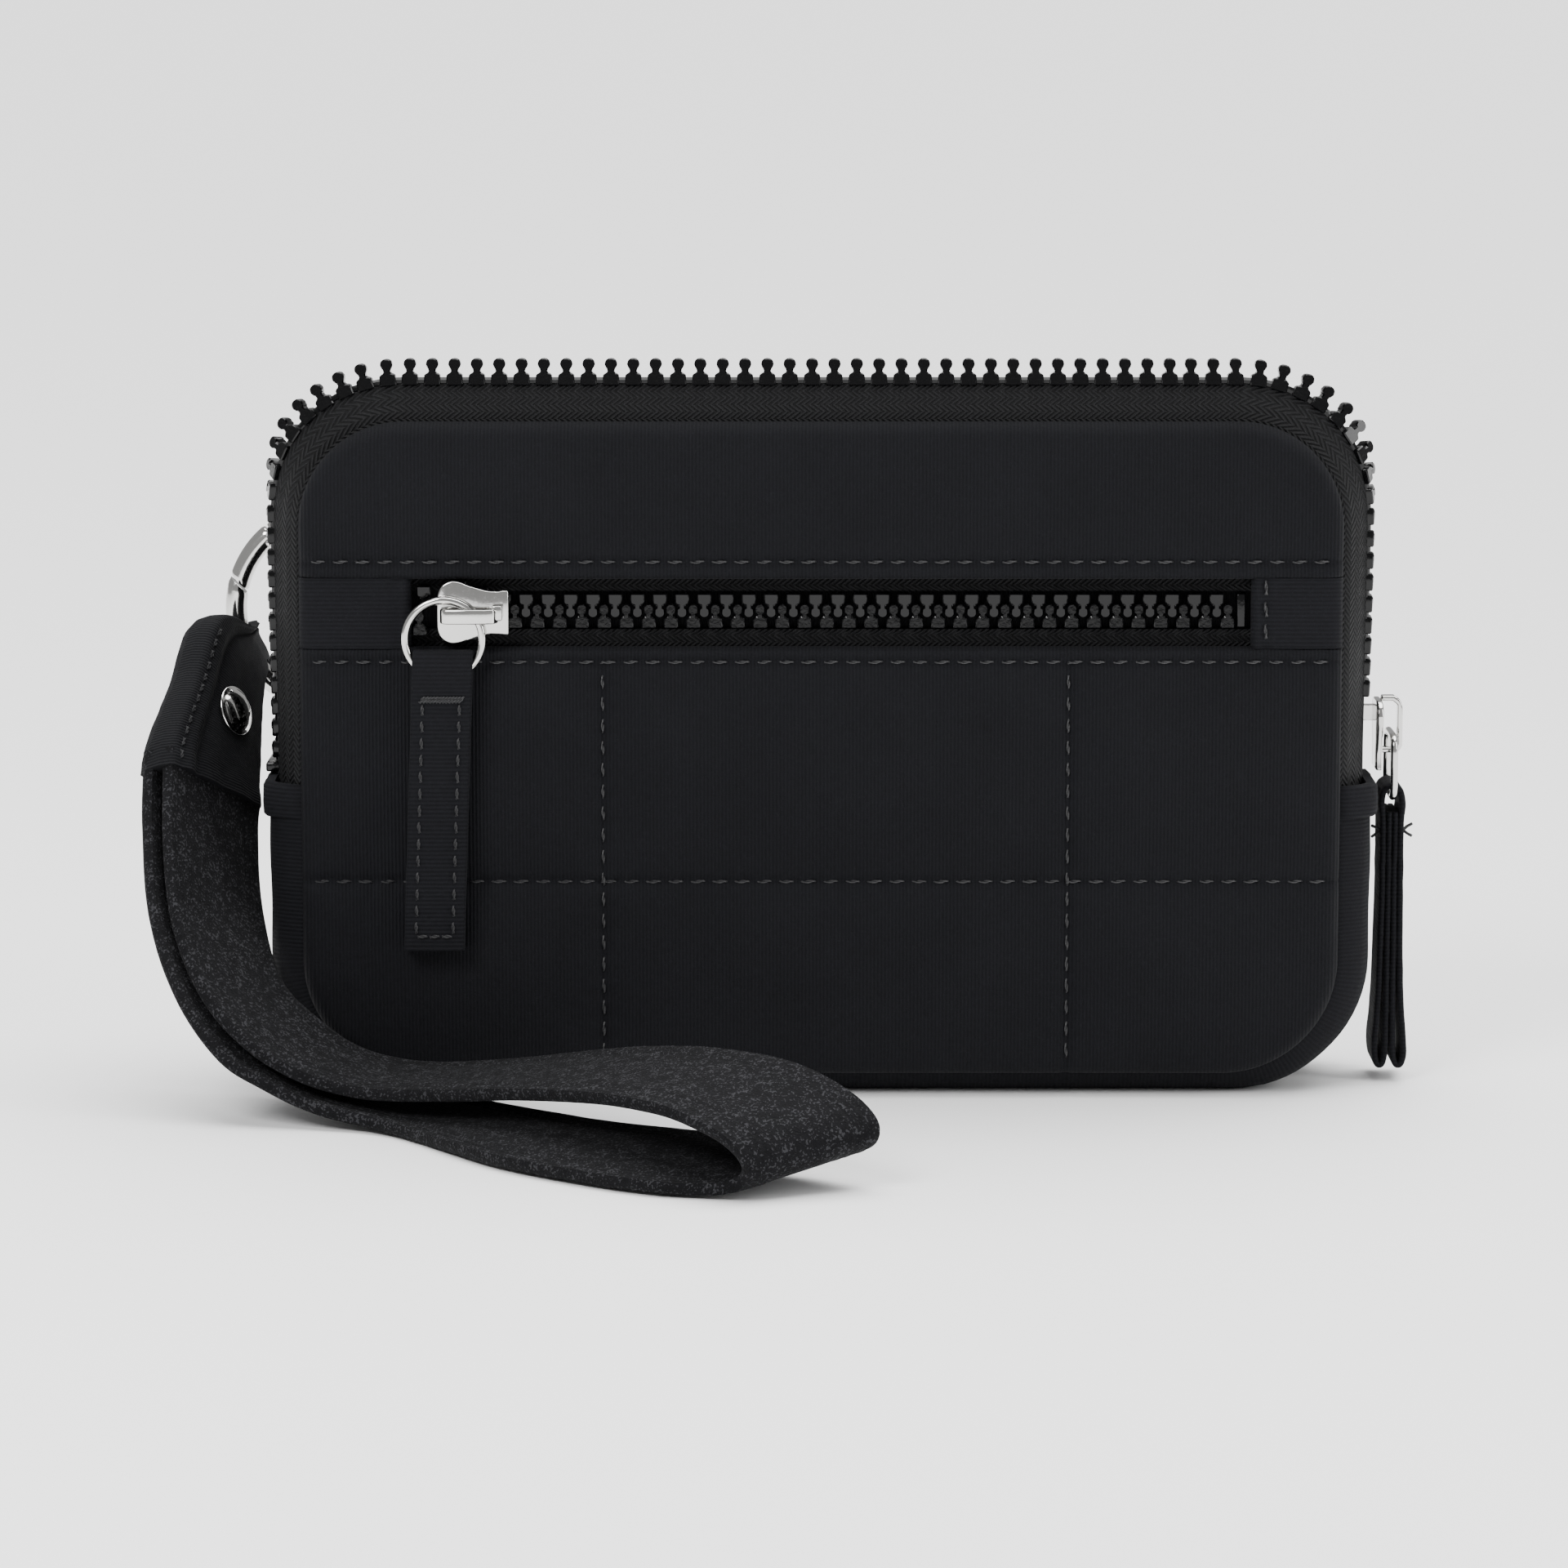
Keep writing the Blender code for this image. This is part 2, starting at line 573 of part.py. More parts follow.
def make_webbing():
    """One strip of thick webbing: out along the floor, folded at the front and back on top."""
    near = curve_through([Vector(a) for a, _ in WEBBING], 3)
    far = curve_through([Vector(b) for _, b in WEBBING], 3)
    sections = []
    for i in range(len(near)):
        before, after = max(i - 1, 0), min(i + 1, len(near) - 1)
        along = near[after] + far[after] - near[before] - far[before]
        face = along.cross(far[i] - near[i]).normalized() * (WEBBING_THICK / 2)
        sections.append([near[i] - face, far[i] - face, far[i] + face, near[i] + face])
    loft("strap_webbing", sections, "webbing")


def make_strap_tab():
    """Cloth wrapped round the ring and over the webbing's ends, with a hole for the rivet."""
    sections, faces = [], []
    middles = [Vector(c) for c, _, _, _ in STRAP_TAB]
    for i, (middle, across, width, thick) in enumerate(STRAP_TAB):
        along = middles[min(i + 1, len(middles) - 1)] - middles[max(i - 1, 0)]
        across = Vector(across).normalized()
        face = along.cross(across).normalized()
        faces.append(face)
        side, lift, middle = across * (width / 2), face * (thick / 2), Vector(middle)
        corners = ((-1, 0.4), (-0.93, 1), (0.93, 1), (1, 0.4), (1, -0.4), (0.93, -1), (-0.93, -1), (-1, -0.4))
        sections.append([middle + side * u + lift * v for u, v in corners])
    tab = loft("strap_tab", sections, "fabric")
    wire = [ring_point(164 + 76 * k / 18) for k in range(19)]
    cut(tab, to_mesh(tube("strap_tab_ring_space", wire, RING_WIRE + 0.5, "fabric", sides=3)))
    axis = faces[3]
    cut(tab, rod("strap_tab_rivet_hole", RIVET_AT, axis, 1.9, 12, "fabric"))
    half = STRAP_TAB[3][3] / 2
    rivet_cap = rod("rivet_cap", RIVET_AT + axis * (half + 1.1), axis, 4.4, 1.4, "nickel", 24)
    modifier = rivet_cap.modifiers.new("dome", "BEVEL")
    modifier.width = 0.6 * MM
    modifier.segments = 2
    make_rivet_post(half, axis)


def make_rivet_post(half, axis):
    """The post through the tab, and the flat head behind it."""
    profile = [(1.5, half + 0.1), (1.5, -half - 0.3), (3.8, -half - 0.5), (3.8, -half - 1.1),
               (2.6, -half - 1.5)]
    bm = bmesh.new()
    turns = [Vector((math.cos(a), math.sin(a), 0)) for a in (math.tau * k / 20 for k in range(20))]
    rings = [[bm.verts.new((turn * radius + Vector((0, 0, height))) * MM) for turn in turns]
             for radius, height in profile]
    for ring, after in zip(rings, rings[1:]):
        for k in range(len(ring)):
            j = (k + 1) % len(ring)
            bm.faces.new((ring[k], ring[j], after[j], after[k]))
    bm.faces.new(rings[0])
    bm.faces.new(rings[-1])
    post = add_part("rivet_post", mesh_from_bmesh(bm), "nickel")
    post.matrix_world = Matrix.Translation(RIVET_AT * MM) @ axis.to_track_quat("Z", "Y").to_matrix().to_4x4()


clear_scene()
PARTS = new_collection("zippered_pouch")
CUTTERS = new_collection("cutters")
make_panels()
make_linings()
make_gusset()
make_main_tape(-1, "main_tape_front")
make_main_tape(1, "main_tape_back")
make_main_teeth(-1, "main_teeth_front")
make_main_teeth(1, "main_teeth_back")
make_zip_ends()
make_main_slider()
make_pocket_zip()
make_pocket_slider()
make_gate_ring()
make_side_loop()
make_webbing()
make_strap_tab()
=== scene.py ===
# %% [markdown]
# # A zippered pouch with a wrist strap
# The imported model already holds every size, place and joint. This script loads it as a
# frame and puts the finished cloth, thread, moulded teeth and polished metal around it.
# Each cell makes one kind of piece, in the order in which a bag maker would sew it.

# %% Load the frame
import math

import bmesh
import bpy
from mathutils import Matrix, Vector, noise


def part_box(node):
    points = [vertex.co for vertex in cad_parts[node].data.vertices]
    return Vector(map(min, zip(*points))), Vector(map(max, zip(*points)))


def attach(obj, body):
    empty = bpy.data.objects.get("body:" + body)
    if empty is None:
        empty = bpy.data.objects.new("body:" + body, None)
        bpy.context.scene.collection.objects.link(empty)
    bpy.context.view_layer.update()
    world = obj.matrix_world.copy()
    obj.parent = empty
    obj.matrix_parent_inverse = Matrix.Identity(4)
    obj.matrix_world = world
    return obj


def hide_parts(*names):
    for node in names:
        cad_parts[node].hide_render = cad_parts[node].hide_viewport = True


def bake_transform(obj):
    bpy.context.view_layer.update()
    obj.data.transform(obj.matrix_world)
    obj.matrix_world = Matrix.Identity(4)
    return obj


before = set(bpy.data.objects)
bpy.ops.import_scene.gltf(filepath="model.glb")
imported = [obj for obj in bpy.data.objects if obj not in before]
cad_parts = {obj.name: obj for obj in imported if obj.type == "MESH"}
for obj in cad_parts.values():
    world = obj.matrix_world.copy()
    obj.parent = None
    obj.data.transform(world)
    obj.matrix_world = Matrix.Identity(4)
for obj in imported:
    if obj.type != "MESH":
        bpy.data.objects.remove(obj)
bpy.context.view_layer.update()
MM = 0.001

# %% [markdown]
# ## Camera, light and floor
# The pouch is seen from the front and a little above, with a long lens, on a white sweep.
# Black cloth only shows its weave under broad, soft light, so two panels light it from
# the sides, a very soft sun whitens the floor, and a dim world fills the rest.

# %% Camera, light and floor
AIM = Vector((-6.3, -17.0, 54.3)) * MM
CAMERA_TILT = math.radians(9)
LENS, SENSOR = 133.8, 36
LAMP_AIM = Vector((0, 0, 0.06))
FLOOR_SIZE, FLOOR_DROP = 60, 0.0002
WORLD_STRENGTH = 0.45


def add_camera():
    """A long lens, one metre away, nine degrees above the level."""
    back = Vector((0, -math.cos(CAMERA_TILT), math.sin(CAMERA_TILT)))
    data = bpy.data.cameras.new("camera")
    data.lens, data.sensor_width = LENS, SENSOR
    camera = bpy.data.objects.new("camera", data)
    camera.location = AIM + back
    camera.rotation_euler = back.to_track_quat("Z", "Y").to_euler()
    bpy.context.scene.collection.objects.link(camera)
    bpy.context.scene.camera = camera


def add_light(name, place, size, power):
    data = bpy.data.lights.new(name, "AREA")
    data.shape, data.size, data.size_y, data.energy = "RECTANGLE", size[0], size[1], power
    lamp = bpy.data.objects.new(name, data)
    lamp.location = place
    lamp.rotation_euler = (Vector(place) - LAMP_AIM).to_track_quat("Z", "Y").to_euler()
    bpy.context.scene.collection.objects.link(lamp)


def add_overhead():
    """A very soft sun high behind the pouch whitens the floor and leaves the cloth dark."""
    data = bpy.data.lights.new("overhead", "SUN")
    data.energy, data.angle = 6.0, 1.1
    lamp = bpy.data.objects.new("overhead", data)
    lamp.rotation_euler = (math.radians(-14), math.radians(8), 0)
    bpy.context.scene.collection.objects.link(lamp)


def add_floor():
    bpy.ops.mesh.primitive_plane_add(size=FLOOR_SIZE, location=(0, 0, -FLOOR_DROP))
    floor = bpy.context.object
    floor.name = "floor"
    paint = bpy.data.materials.new("white_sweep")
    paint.use_nodes = True
    shader = paint.node_tree.nodes["Principled BSDF"]
    shader.inputs["Base Color"].default_value = (0.95, 0.95, 0.95, 1)
    shader.inputs["Roughness"].default_value = 0.6
    floor.data.materials.append(paint)


add_camera()
add_light("key", (-0.55, -0.75, 0.85), (0.5, 0.5), 12)
add_light("right_edge", (0.9, -0.35, 0.45), (0.25, 0.7), 5)
add_overhead()
add_floor()
world = bpy.data.worlds.new("white")
bpy.context.scene.world = world
world.use_nodes = True
world.node_tree.nodes["Background"].inputs["Color"].default_value = (1, 1, 1, 1)
world.node_tree.nodes["Background"].inputs["Strength"].default_value = WORLD_STRENGTH
print("lens:", LENS, "mm, with", len(bpy.data.lights), "lights and a floor")

# %% [markdown]
# ## A small language for finishes
# Cloth is mostly arithmetic: ribs are a sine of a distance and a herringbone is a sine of
# a zigzag. Wrapping a node's output in a class lets that arithmetic be written plainly.

# %% Arithmetic on nodes
class Value:
    """The output of a node; arithmetic on it adds Math nodes."""

    def __init__(self, finish, socket):
        self.finish, self.socket = finish, socket

    def calc(self, operation, first, second=0.0):
        return self.finish.node("ShaderNodeMath", {"operation": operation}, {0: first, 1: second})

    def __add__(self, other):
        return self.calc("ADD", self, other)

    def __sub__(self, other):
        return self.calc("SUBTRACT", self, other)

    def __rsub__(self, other):
        return self.calc("SUBTRACT", other, self)

    def __mul__(self, other):
        return self.calc("MULTIPLY", self, other)

    __radd__, __rmul__ = __add__, __mul__

    def sine(self, period):
        """A wave from 0 to 1 that repeats every period metres."""
        return self.calc("SINE", self * (math.tau / period)) * 0.5 + 0.5

    def zigzag(self, half_period):
        return self.calc("PINGPONG", self, half_period)

    def over(self, limit):
        return self.calc("GREATER_THAN", self, limit)


print("node arithmetic is ready")

# %% [markdown]
# ## One material at a time
# A finish is one shader. What is the same all over is set on its sockets; only what
# varies, such as tone, roughness and bump, gets nodes.

# %% A finish
class Finish:
    """A material: constants on its shader, and nodes only for what varies."""

    def __init__(self, name, **constants):
        self.material = bpy.data.materials.new(name)
        self.material.use_nodes = True
        self.tree = self.material.node_tree
        self.shader = self.tree.nodes["Principled BSDF"]
        for socket, value in constants.items():
            self.shader.inputs[socket.replace("_", " ")].default_value = value

    def node(self, kind, settings=None, values=None, output=0):
        node = self.tree.nodes.new(kind)
        for key, value in (settings or {}).items():
            setattr(node, key, value)
        for key, value in (values or {}).items():
            if isinstance(value, Value):
                self.tree.links.new(value.socket, node.inputs[key])
            else:
                node.inputs[key].default_value = value
        return Value(self, node.outputs[output])

    def place(self, source):
        """The three coordinates, in metres, of Object space or of the piece's own UV map."""
        where = self.node("ShaderNodeTexCoord", output=source)
        return where, [self.node("ShaderNodeSeparateXYZ", values={0: where}, output=axis)
                       for axis in range(3)]

    def cloud(self, where, scale, detail=2.0):
        return self.node("ShaderNodeTexNoise", values={"Vector": where, "Scale": scale, "Detail": detail})

    def mix(self, share, first, second):
        return self.node("ShaderNodeMix", {"data_type": "RGBA"},
                         {0: share, 6: (*first, 1), 7: (*second, 1)}, output=2)

    def wire(self, socket, value):
        self.tree.links.new(value.socket, self.shader.inputs[socket])

    def bump(self, height, distance, strength=1.0):
        self.wire("Normal", self.node("ShaderNodeBump", values={
            "Height": height, "Distance": distance, "Strength": strength}))


print("finishes can be mixed")

# %% [markdown]
# ## Two weaves
# The shell is a knit with fine ribs and loose fibre, and the zip tape is a herringbone.
# Both could be image textures. Sines of a distance are sharper at every scale, and they
# stay the same size in metres on every piece.

# %% Knit and herringbone
BUMP_DEPTH = 0.00016
HERRING_STRIPE, HERRING_RIB = 0.0012, 0.00105


def cloth(name, dark, light, rib_axis, rib, source="Object", rough=0.82):
    """Fine ribbed knit: ribs across one axis, slubs, soft patches and a few pale fibre flecks."""
    finish = Finish(name, Sheen_Weight=0.015, Sheen_Roughness=0.45, Specular_IOR_Level=0.1)
    where, axes = finish.place(source)
    ribs = axes[rib_axis].sine(rib)
    slub = finish.cloud(where, 900)
    fleck = finish.cloud(where, 5200, 1.0)
    patch = finish.cloud(where, 60)
    tone = ribs * 0.25 + slub * 0.35 + patch * 0.25 + fleck.over(0.66) * 0.35
    finish.wire("Base Color", finish.mix(tone, dark, light))
    finish.wire("Roughness", slub * 0.15 + (rough - 0.07))
    finish.bump(ribs * 0.55 + slub * 0.6 + fleck * 0.5, BUMP_DEPTH)
    return finish.material


def herringbone(name, dark, light):
    """Woven tape: diagonal ribs that turn back at each stripe along the tape."""
    finish = Finish(name, Sheen_Weight=0.01, Specular_IOR_Level=0.14)
    where, axes = finish.place("UV")
    turned = axes[0] + axes[1].zigzag(HERRING_STRIPE) * 1.25
    ribs = turned.sine(HERRING_RIB)
    fibre = finish.cloud(where, 4200, 1.0)
    tone = ribs * 0.6 + fibre.over(0.6) * 0.35
    finish.wire("Base Color", finish.mix(tone, dark, light))
    finish.wire("Roughness", ribs * 0.2 + 0.6)
    finish.bump(ribs + fibre * 0.3, 0.00035)
    return finish.material


print("weaves: ribbed knit and herringbone")

# %% [markdown]
# ## Finishes
# The shell is a blue-black bonded knit with fine ribs; the tapes are herringbone; the
# teeth are glossy moulded plastic; the fittings are polished nickel; and the wrist strap
# is a thick charcoal webbing with a felted face, full of pale fibre ends.

# %% Finishes
INK, SLATE = (0.0016, 0.0016, 0.0022), (0.0098, 0.0101, 0.0124)
panel_cloth = cloth("panel_cloth", INK, SLATE, 0, 0.00062)
band_cloth = cloth("band_cloth", INK, SLATE, 0, 0.0007, "UV")
tab_cloth = cloth("tab_cloth", INK, (0.011, 0.0113, 0.0138), 2, 0.00072)
wrap_cloth = cloth("wrap_cloth", INK, (0.0085, 0.0088, 0.0105), 0, 0.0006, "UV")
lining_cloth = cloth("lining_cloth", (0.006, 0.006, 0.007), (0.016, 0.016, 0.018), 0, 0.0004,
                     rough=0.6)
tape_weave = herringbone("tape_weave", (0.0008, 0.0008, 0.001), (0.0165, 0.0166, 0.0178))
print("cloths: panel, band, tab, wrap, lining and tape")

# %% [markdown]
# ## Felt, plastic, metal and thread
# Each is a few clouds of noise at the size of its own marks: fibre ends on the felted
# webbing, a faint ripple on moulded plastic, haze and scuffs on nickel. Painted maps
# would do it too, but noise in metres needs no file and has no seam.

# %% Felt, plastic, metal and thread
def make_webbing_finish():
    finish = Finish("felted_webbing", Sheen_Weight=0.02, Sheen_Roughness=0.5, Specular_IOR_Level=0.08)
    where, _ = finish.place("Object")
    fibre, clump = finish.cloud(where, 2400, 2.0), finish.cloud(where, 600, 3.0)
    pale = (fibre * 0.7 + clump * 0.3).over(0.575)
    tone = pale * 0.75 + clump * 0.3
    finish.wire("Base Color", finish.mix(tone, (0.0012, 0.0012, 0.0016), (0.029, 0.029, 0.032)))
    finish.wire("Roughness", clump * 0.2 + 0.75)
    finish.bump(fibre * 0.8 + clump * 0.4, 0.00025)
    return finish.material


def make_plastic():
    finish = Finish("tooth_plastic", Base_Color=(0.0015, 0.0015, 0.0018, 1), Specular_IOR_Level=0.26)
    where, _ = finish.place("Object")
    finish.wire("Roughness", finish.cloud(where, 400) * 0.12 + 0.08)
    finish.bump(finish.cloud(where, 1500), 0.00003)
    return finish.material


def make_nickel():
    finish = Finish("polished_nickel", Metallic=1.0)
    where, _ = finish.place("Object")
    haze = finish.cloud(where, 90, 4.0)
    scuff = finish.cloud(where, 2500, 1.0)
    finish.wire("Base Color", finish.mix(haze, (0.50, 0.495, 0.48), (0.64, 0.635, 0.62)))
    finish.wire("Roughness", haze * 0.08 + scuff.over(0.68) * 0.08 + 0.06)
    finish.bump(haze + scuff * 0.2, 0.00002)
    return finish.material


def make_thread():
    finish = Finish("bonded_thread", Specular_IOR_Level=0.5, Sheen_Weight=0.05)
    where, _ = finish.place("Object")
    fibre = finish.cloud(where, 6000, 1.0)
    tone = fibre.over(0.55) * 0.7
    finish.wire("Base Color", finish.mix(tone, (0.003, 0.003, 0.004), (0.026, 0.026, 0.028)))
    finish.wire("Roughness", fibre * 0.3 + 0.3)
    finish.bump(fibre, 0.00005)
    return finish.material


webbing_felt = make_webbing_finish()
plastic = make_plastic()
nickel = make_nickel()
thread = make_thread()
print("finishes made:", len(bpy.data.materials))

# %% [markdown]
# ## Finishing a piece
# Every piece ends in the same way: its modifiers and its place go into the mesh, it is
# shaded smooth up to an angle, and it gets its name and its finish; a piece given one body
# is hung on it.

# %% Finishing a piece
def only(obj):
    """Make this the only selected object."""
    bpy.ops.object.select_all(action="DESELECT")
    obj.select_set(True)
    bpy.context.view_layer.objects.active = obj
    return obj


def finish_piece(obj, name, material, body, node=None, smooth=60):
    """Apply what is left on a piece, name it, colour it, and hang it on its body when it is given just one.
    """
    only(obj)
    for modifier in list(obj.modifiers):
        bpy.ops.object.modifier_apply(modifier=modifier.name)
    bpy.ops.object.transform_apply(location=True, rotation=True, scale=True)
    bpy.ops.object.shade_smooth_by_angle(angle=math.radians(smooth))
    obj.name = obj.data.name = name
    obj.data.materials.clear()
    obj.data.materials.append(material)
    if node:
        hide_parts(node)
    if isinstance(body, str):
        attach(obj, body)
    else:
        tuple(body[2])
        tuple(body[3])
        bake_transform(obj)
    print(f"{name}: {len(obj.data.polygons)} faces")
    return obj


def metal(obj, name, body, node, smooth=30):
    finish_piece(obj, name, nickel, body, node, smooth)


def sewn(obj, name, material, body, node, smooth=60):
    return finish_piece(obj, name, material, body, node, smooth)


def round_edges(obj, radius, segments, angle=30):
    """Bevel every edge sharper than an angle."""
    edges = obj.modifiers.new("edges", "BEVEL")
    edges.width, edges.segments = radius * MM, segments
    edges.limit_method, edges.angle_limit = "ANGLE", math.radians(angle)
    only(obj)
    bpy.ops.object.modifier_apply(modifier=edges.name)
    return obj


print("pieces can be finished")

# %% [markdown]
# ## Skins over sections
# Cloth strips, bands and cords are lofts: one section is carried along a route, and the
# distances along and across it become the UV map, in metres, so that a weave follows the
# cloth round its corners. A primitive can't hold such a map through a fold.

# %% Skins over sections
def mesh_object(bm, name="piece"):
    bmesh.ops.recalc_face_normals(bm, faces=bm.faces)
    mesh = bpy.data.meshes.new(name)
    bm.to_mesh(mesh)
    bm.free()
    obj = bpy.data.objects.new(name, mesh)
    bpy.context.scene.collection.objects.link(obj)
    return obj


def skin(sections, closed=False):
    """A closed solid over a row of sections, each a loop of points in millimetres."""
    bm = bmesh.new()
    chart = bm.loops.layers.uv.new("UVMap")
    rings = [[bm.verts.new(Vector(p) * MM) for p in section] for section in sections]
    count, along = len(rings[0]), [0.0]
    for a, b in zip(sections, sections[1:]):
        along.append(along[-1] + (Vector(b[0]) - Vector(a[0])).length * MM)
    around = [0.0]
    middle = sections[len(sections) // 2]
    for j in range(count):
        around.append(around[-1] + (Vector(middle[(j + 1) % count]) - Vector(middle[j])).length * MM)
    spans = len(rings) if closed else len(rings) - 1
    for i in range(spans):
        ring, after = rings[i], rings[(i + 1) % len(rings)]
        ends = (along[i], along[i + 1] if i + 1 < len(along) else along[i] + 0.001)
        for j in range(count):
            k = (j + 1) % count
            face = bm.faces.new((ring[j], ring[k], after[k], after[j]))
            for loop, uv in zip(face.loops, ((ends[0], around[j]), (ends[0], around[j + 1]),
                                             (ends[1], around[j + 1]), (ends[1], around[j]))):
                loop[chart].uv = uv
    if not closed:
        bm.faces.new(rings[0])
        bm.faces.new(rings[-1])
    return mesh_object(bm)


print("sections can be skinned")

# %% [markdown]
# ## Curves, joins and copies
# A curve through a few given points saves typing hundreds. What repeats, such as a tooth
# or a stitch, is made once and copied by a matrix for each place.

# %% Curves, joins and copies
def heading(points, i):
    """The way a row of points runs at one of them."""
    return points[min(i + 1, len(points) - 1)] - points[max(i - 1, 0)]


def circle(count):
    return [(math.cos(math.tau * s / count), math.sin(math.tau * s / count)) for s in range(count)]


def standing(spot, along, across, up):
    """A matrix that puts a copy at a spot in millimetres, turned to three directions."""
    return Matrix.Translation(spot * MM) @ Matrix((along, across, up)).transposed().to_4x4()


def curve_through(points, steps):
    """More points along a smooth curve through the given ones."""
    ends = [points[0] * 2 - points[1]] + points + [points[-1] * 2 - points[-2]]
    result = []
    for i in range(1, len(ends) - 2):
        a, b, c, d = ends[i - 1:i + 3]
        for k in range(steps):
            t = k / steps
            result.append(0.5 * (2 * b + (c - a) * t + (2 * a - 5 * b + 4 * c - d) * t * t
                                 + (3 * b - a - 3 * c + d) * t ** 3))
    return result + [points[-1]]


def ease(value):
    value = min(1.0, max(0.0, value))
    return value * value * (3 - 2 * value)


def join(objects):
    bpy.ops.object.select_all(action="DESELECT")
    for obj in objects:
        obj.select_set(True)
    bpy.context.view_layer.objects.active = objects[0]
    bpy.ops.object.join()
    return bpy.context.object


def copies(source, frames):
    """One object that holds a copy of the source's mesh at each place."""
    bm = bmesh.new()
    for matrix in frames:
        start = len(bm.verts)
        bm.from_mesh(source.data)
        bm.verts.ensure_lookup_table()
        bmesh.ops.transform(bm, matrix=matrix, verts=bm.verts[start:])
    bpy.data.objects.remove(source)
    return mesh_object(bm)


print("curves and copies are ready")

# %% [markdown]
# ## Sizes from the frame
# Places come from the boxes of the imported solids, in millimetres. A few depths that the
# boxes don't hold, such as where the tape lies behind the window, are named here once.

# %% Sizes
def span(node):
    low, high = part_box(node)
    return Vector(low) / MM, Vector(high) / MM


BACK_LOW, BACK_HIGH = span("back_panel")
HALF, BOTTOM, TOP, FACE = BACK_HIGH.x, BACK_LOW.z, BACK_HIGH.z, BACK_HIGH.y
OUTER_HALF = span("gusset")[1].x
ZIP_END = span("gusset")[1].z + 0.5
HEM_LOW, HEM_HIGH = span("front_panel_lower")[1].z, span("front_panel_upper")[0].z
WINDOW_LEFT, WINDOW_RIGHT = span("pocket_end_left")[1].x, span("pocket_end_right")[0].x
SLIDER_LOW, SLIDER_HIGH = span("pocket_slider_body")
CHAIN_Z = (SLIDER_LOW.z + SLIDER_HIGH.z) / 2
MAIN_LOW, MAIN_HIGH = span("main_slider_body")
BOTTOM_CORNER, TOP_CORNER = 20.0, 18.0
PITCH = 3.8
EDGE_ROLL, HEM_ROLL = (2.6, 2.1), (1.2, 1.5)
FOAM, QUILT_DIP = 1.15, 0.5
PANEL_CROWD, PANEL_SHRINK = 0.35, 0.9995
BAND_FLAT, BAND_DRAW = 11.5, 5.3
TAPE_FRONT, TAPE_BACK, TOOTH_Y = -16.75, -16.2, -17.6
TOOTH_REACH, ROW_PARTING, FIRST_TOOTH = 2.14, 2.3, 0.9
WINDOW_END_FRONT, WINDOW_END_BACK = -19.35, -17.15
FRONTWARDS = Vector((0, -1, 0))
QUILT_X, QUILT_Z = (-37.3, 42.3), 37.7
HEM_STITCH_LOW, HEM_STITCH_HIGH = HEM_LOW - 2.5, HEM_HIGH + 3.0
RIGHT_STITCH_X = WINDOW_RIGHT + 2.4
print("panel:", round(HALF * 2, 1), "x", round(TOP - BOTTOM, 1), "mm")

# %% [markdown]
# ## Padded panels
# A softshell panel is face cloth on thin foam. It turns over at the seam and at the pocket's
# hems, swells between the quilting lines and sinks where a stitch pulls it down. One
# function gives the height of the face anywhere, so the stitches later lie right on it.

# %% Where a point lies on a panel
def in_corner(x, z):
    """The rounded corner that a point lies in: radius, centre, way up, and offsets from it."""
    for radius, centre_z, way in ((BOTTOM_CORNER, BOTTOM + BOTTOM_CORNER, -1),
                                  (TOP_CORNER, TOP - TOP_CORNER, 1)):
        dx, dz = abs(x) - (HALF - radius), way * (z - centre_z)
        if dx > 0 and dz > 0:
            return radius, centre_z, way, dx, dz
    return None


def seam_depth(x, z):
    """How far a point lies inside the rounded seam."""
    found = in_corner(x, z)
    if found:
        return found[0] - math.hypot(found[3], found[4])
    return min(HALF - abs(x), z - BOTTOM, TOP - z)


def into_corner(x, z):
    """Moves the square corners of a grid onto the rounded seam."""
    found = in_corner(x, z)
    if not found:
        return x, z
    radius, centre_z, way, dx, dz = found
    pull = max(dx, dz) / math.hypot(dx, dz)
    return math.copysign(HALF - radius + dx * pull, x), centre_z + way * dz * pull


def turned(depth, radius, drop):
    """The drop of a cloth edge that rolls over within radius of its end."""
    if depth >= radius:
        return 0.0
    part = 1 - max(0.0, depth) / radius
    return drop * (1 - math.sqrt(max(0.0, 1 - part * part)))


print("seam depth at the middle:", round(seam_depth(0, (BOTTOM + TOP) / 2), 1), "mm")

# %% [markdown]
# ## The height of the cloth
# A cloth solver would find these swells and puckers, at the price of a long wait and
# seams that drift. Adding up a few humps, one for each thing the thread does, keeps every
# seam exactly where it is sewn.

# %% The height of the cloth
def front_face(x, z):
    """How far the front cloth stands out from the pouch's middle plane."""
    edge = seam_depth(x, z)
    lower = z < (HEM_LOW + HEM_HIGH) / 2
    hem = HEM_LOW - z if lower else z - HEM_HIGH
    lines = [(abs(z - (HEM_STITCH_LOW if lower else HEM_STITCH_HIGH)), x)]
    if lower:
        lines.append((abs(z - QUILT_Z), x))
        if z < HEM_STITCH_LOW:
            lines += [(abs(x - line), z) for line in QUILT_X]
    nearest = min([edge] + [away for away, _ in lines])
    out = FACE + FOAM * (1 - math.exp(-nearest / 6.0))
    for away, along in lines:
        out -= QUILT_DIP * math.exp(-(away / 0.75) ** 2)
        out += 0.10 * math.sin(math.tau * along / PITCH) * math.exp(-(away / 2.2) ** 2)
    out += 0.22 * noise.noise(Vector((x / 16, z / 13, 3.1)))
    out += 0.10 * noise.noise(Vector((x / 5, z / 7, 8.7))) * math.exp(-edge / 9)
    return out - turned(edge, *EDGE_ROLL) - turned(hem, *HEM_ROLL)


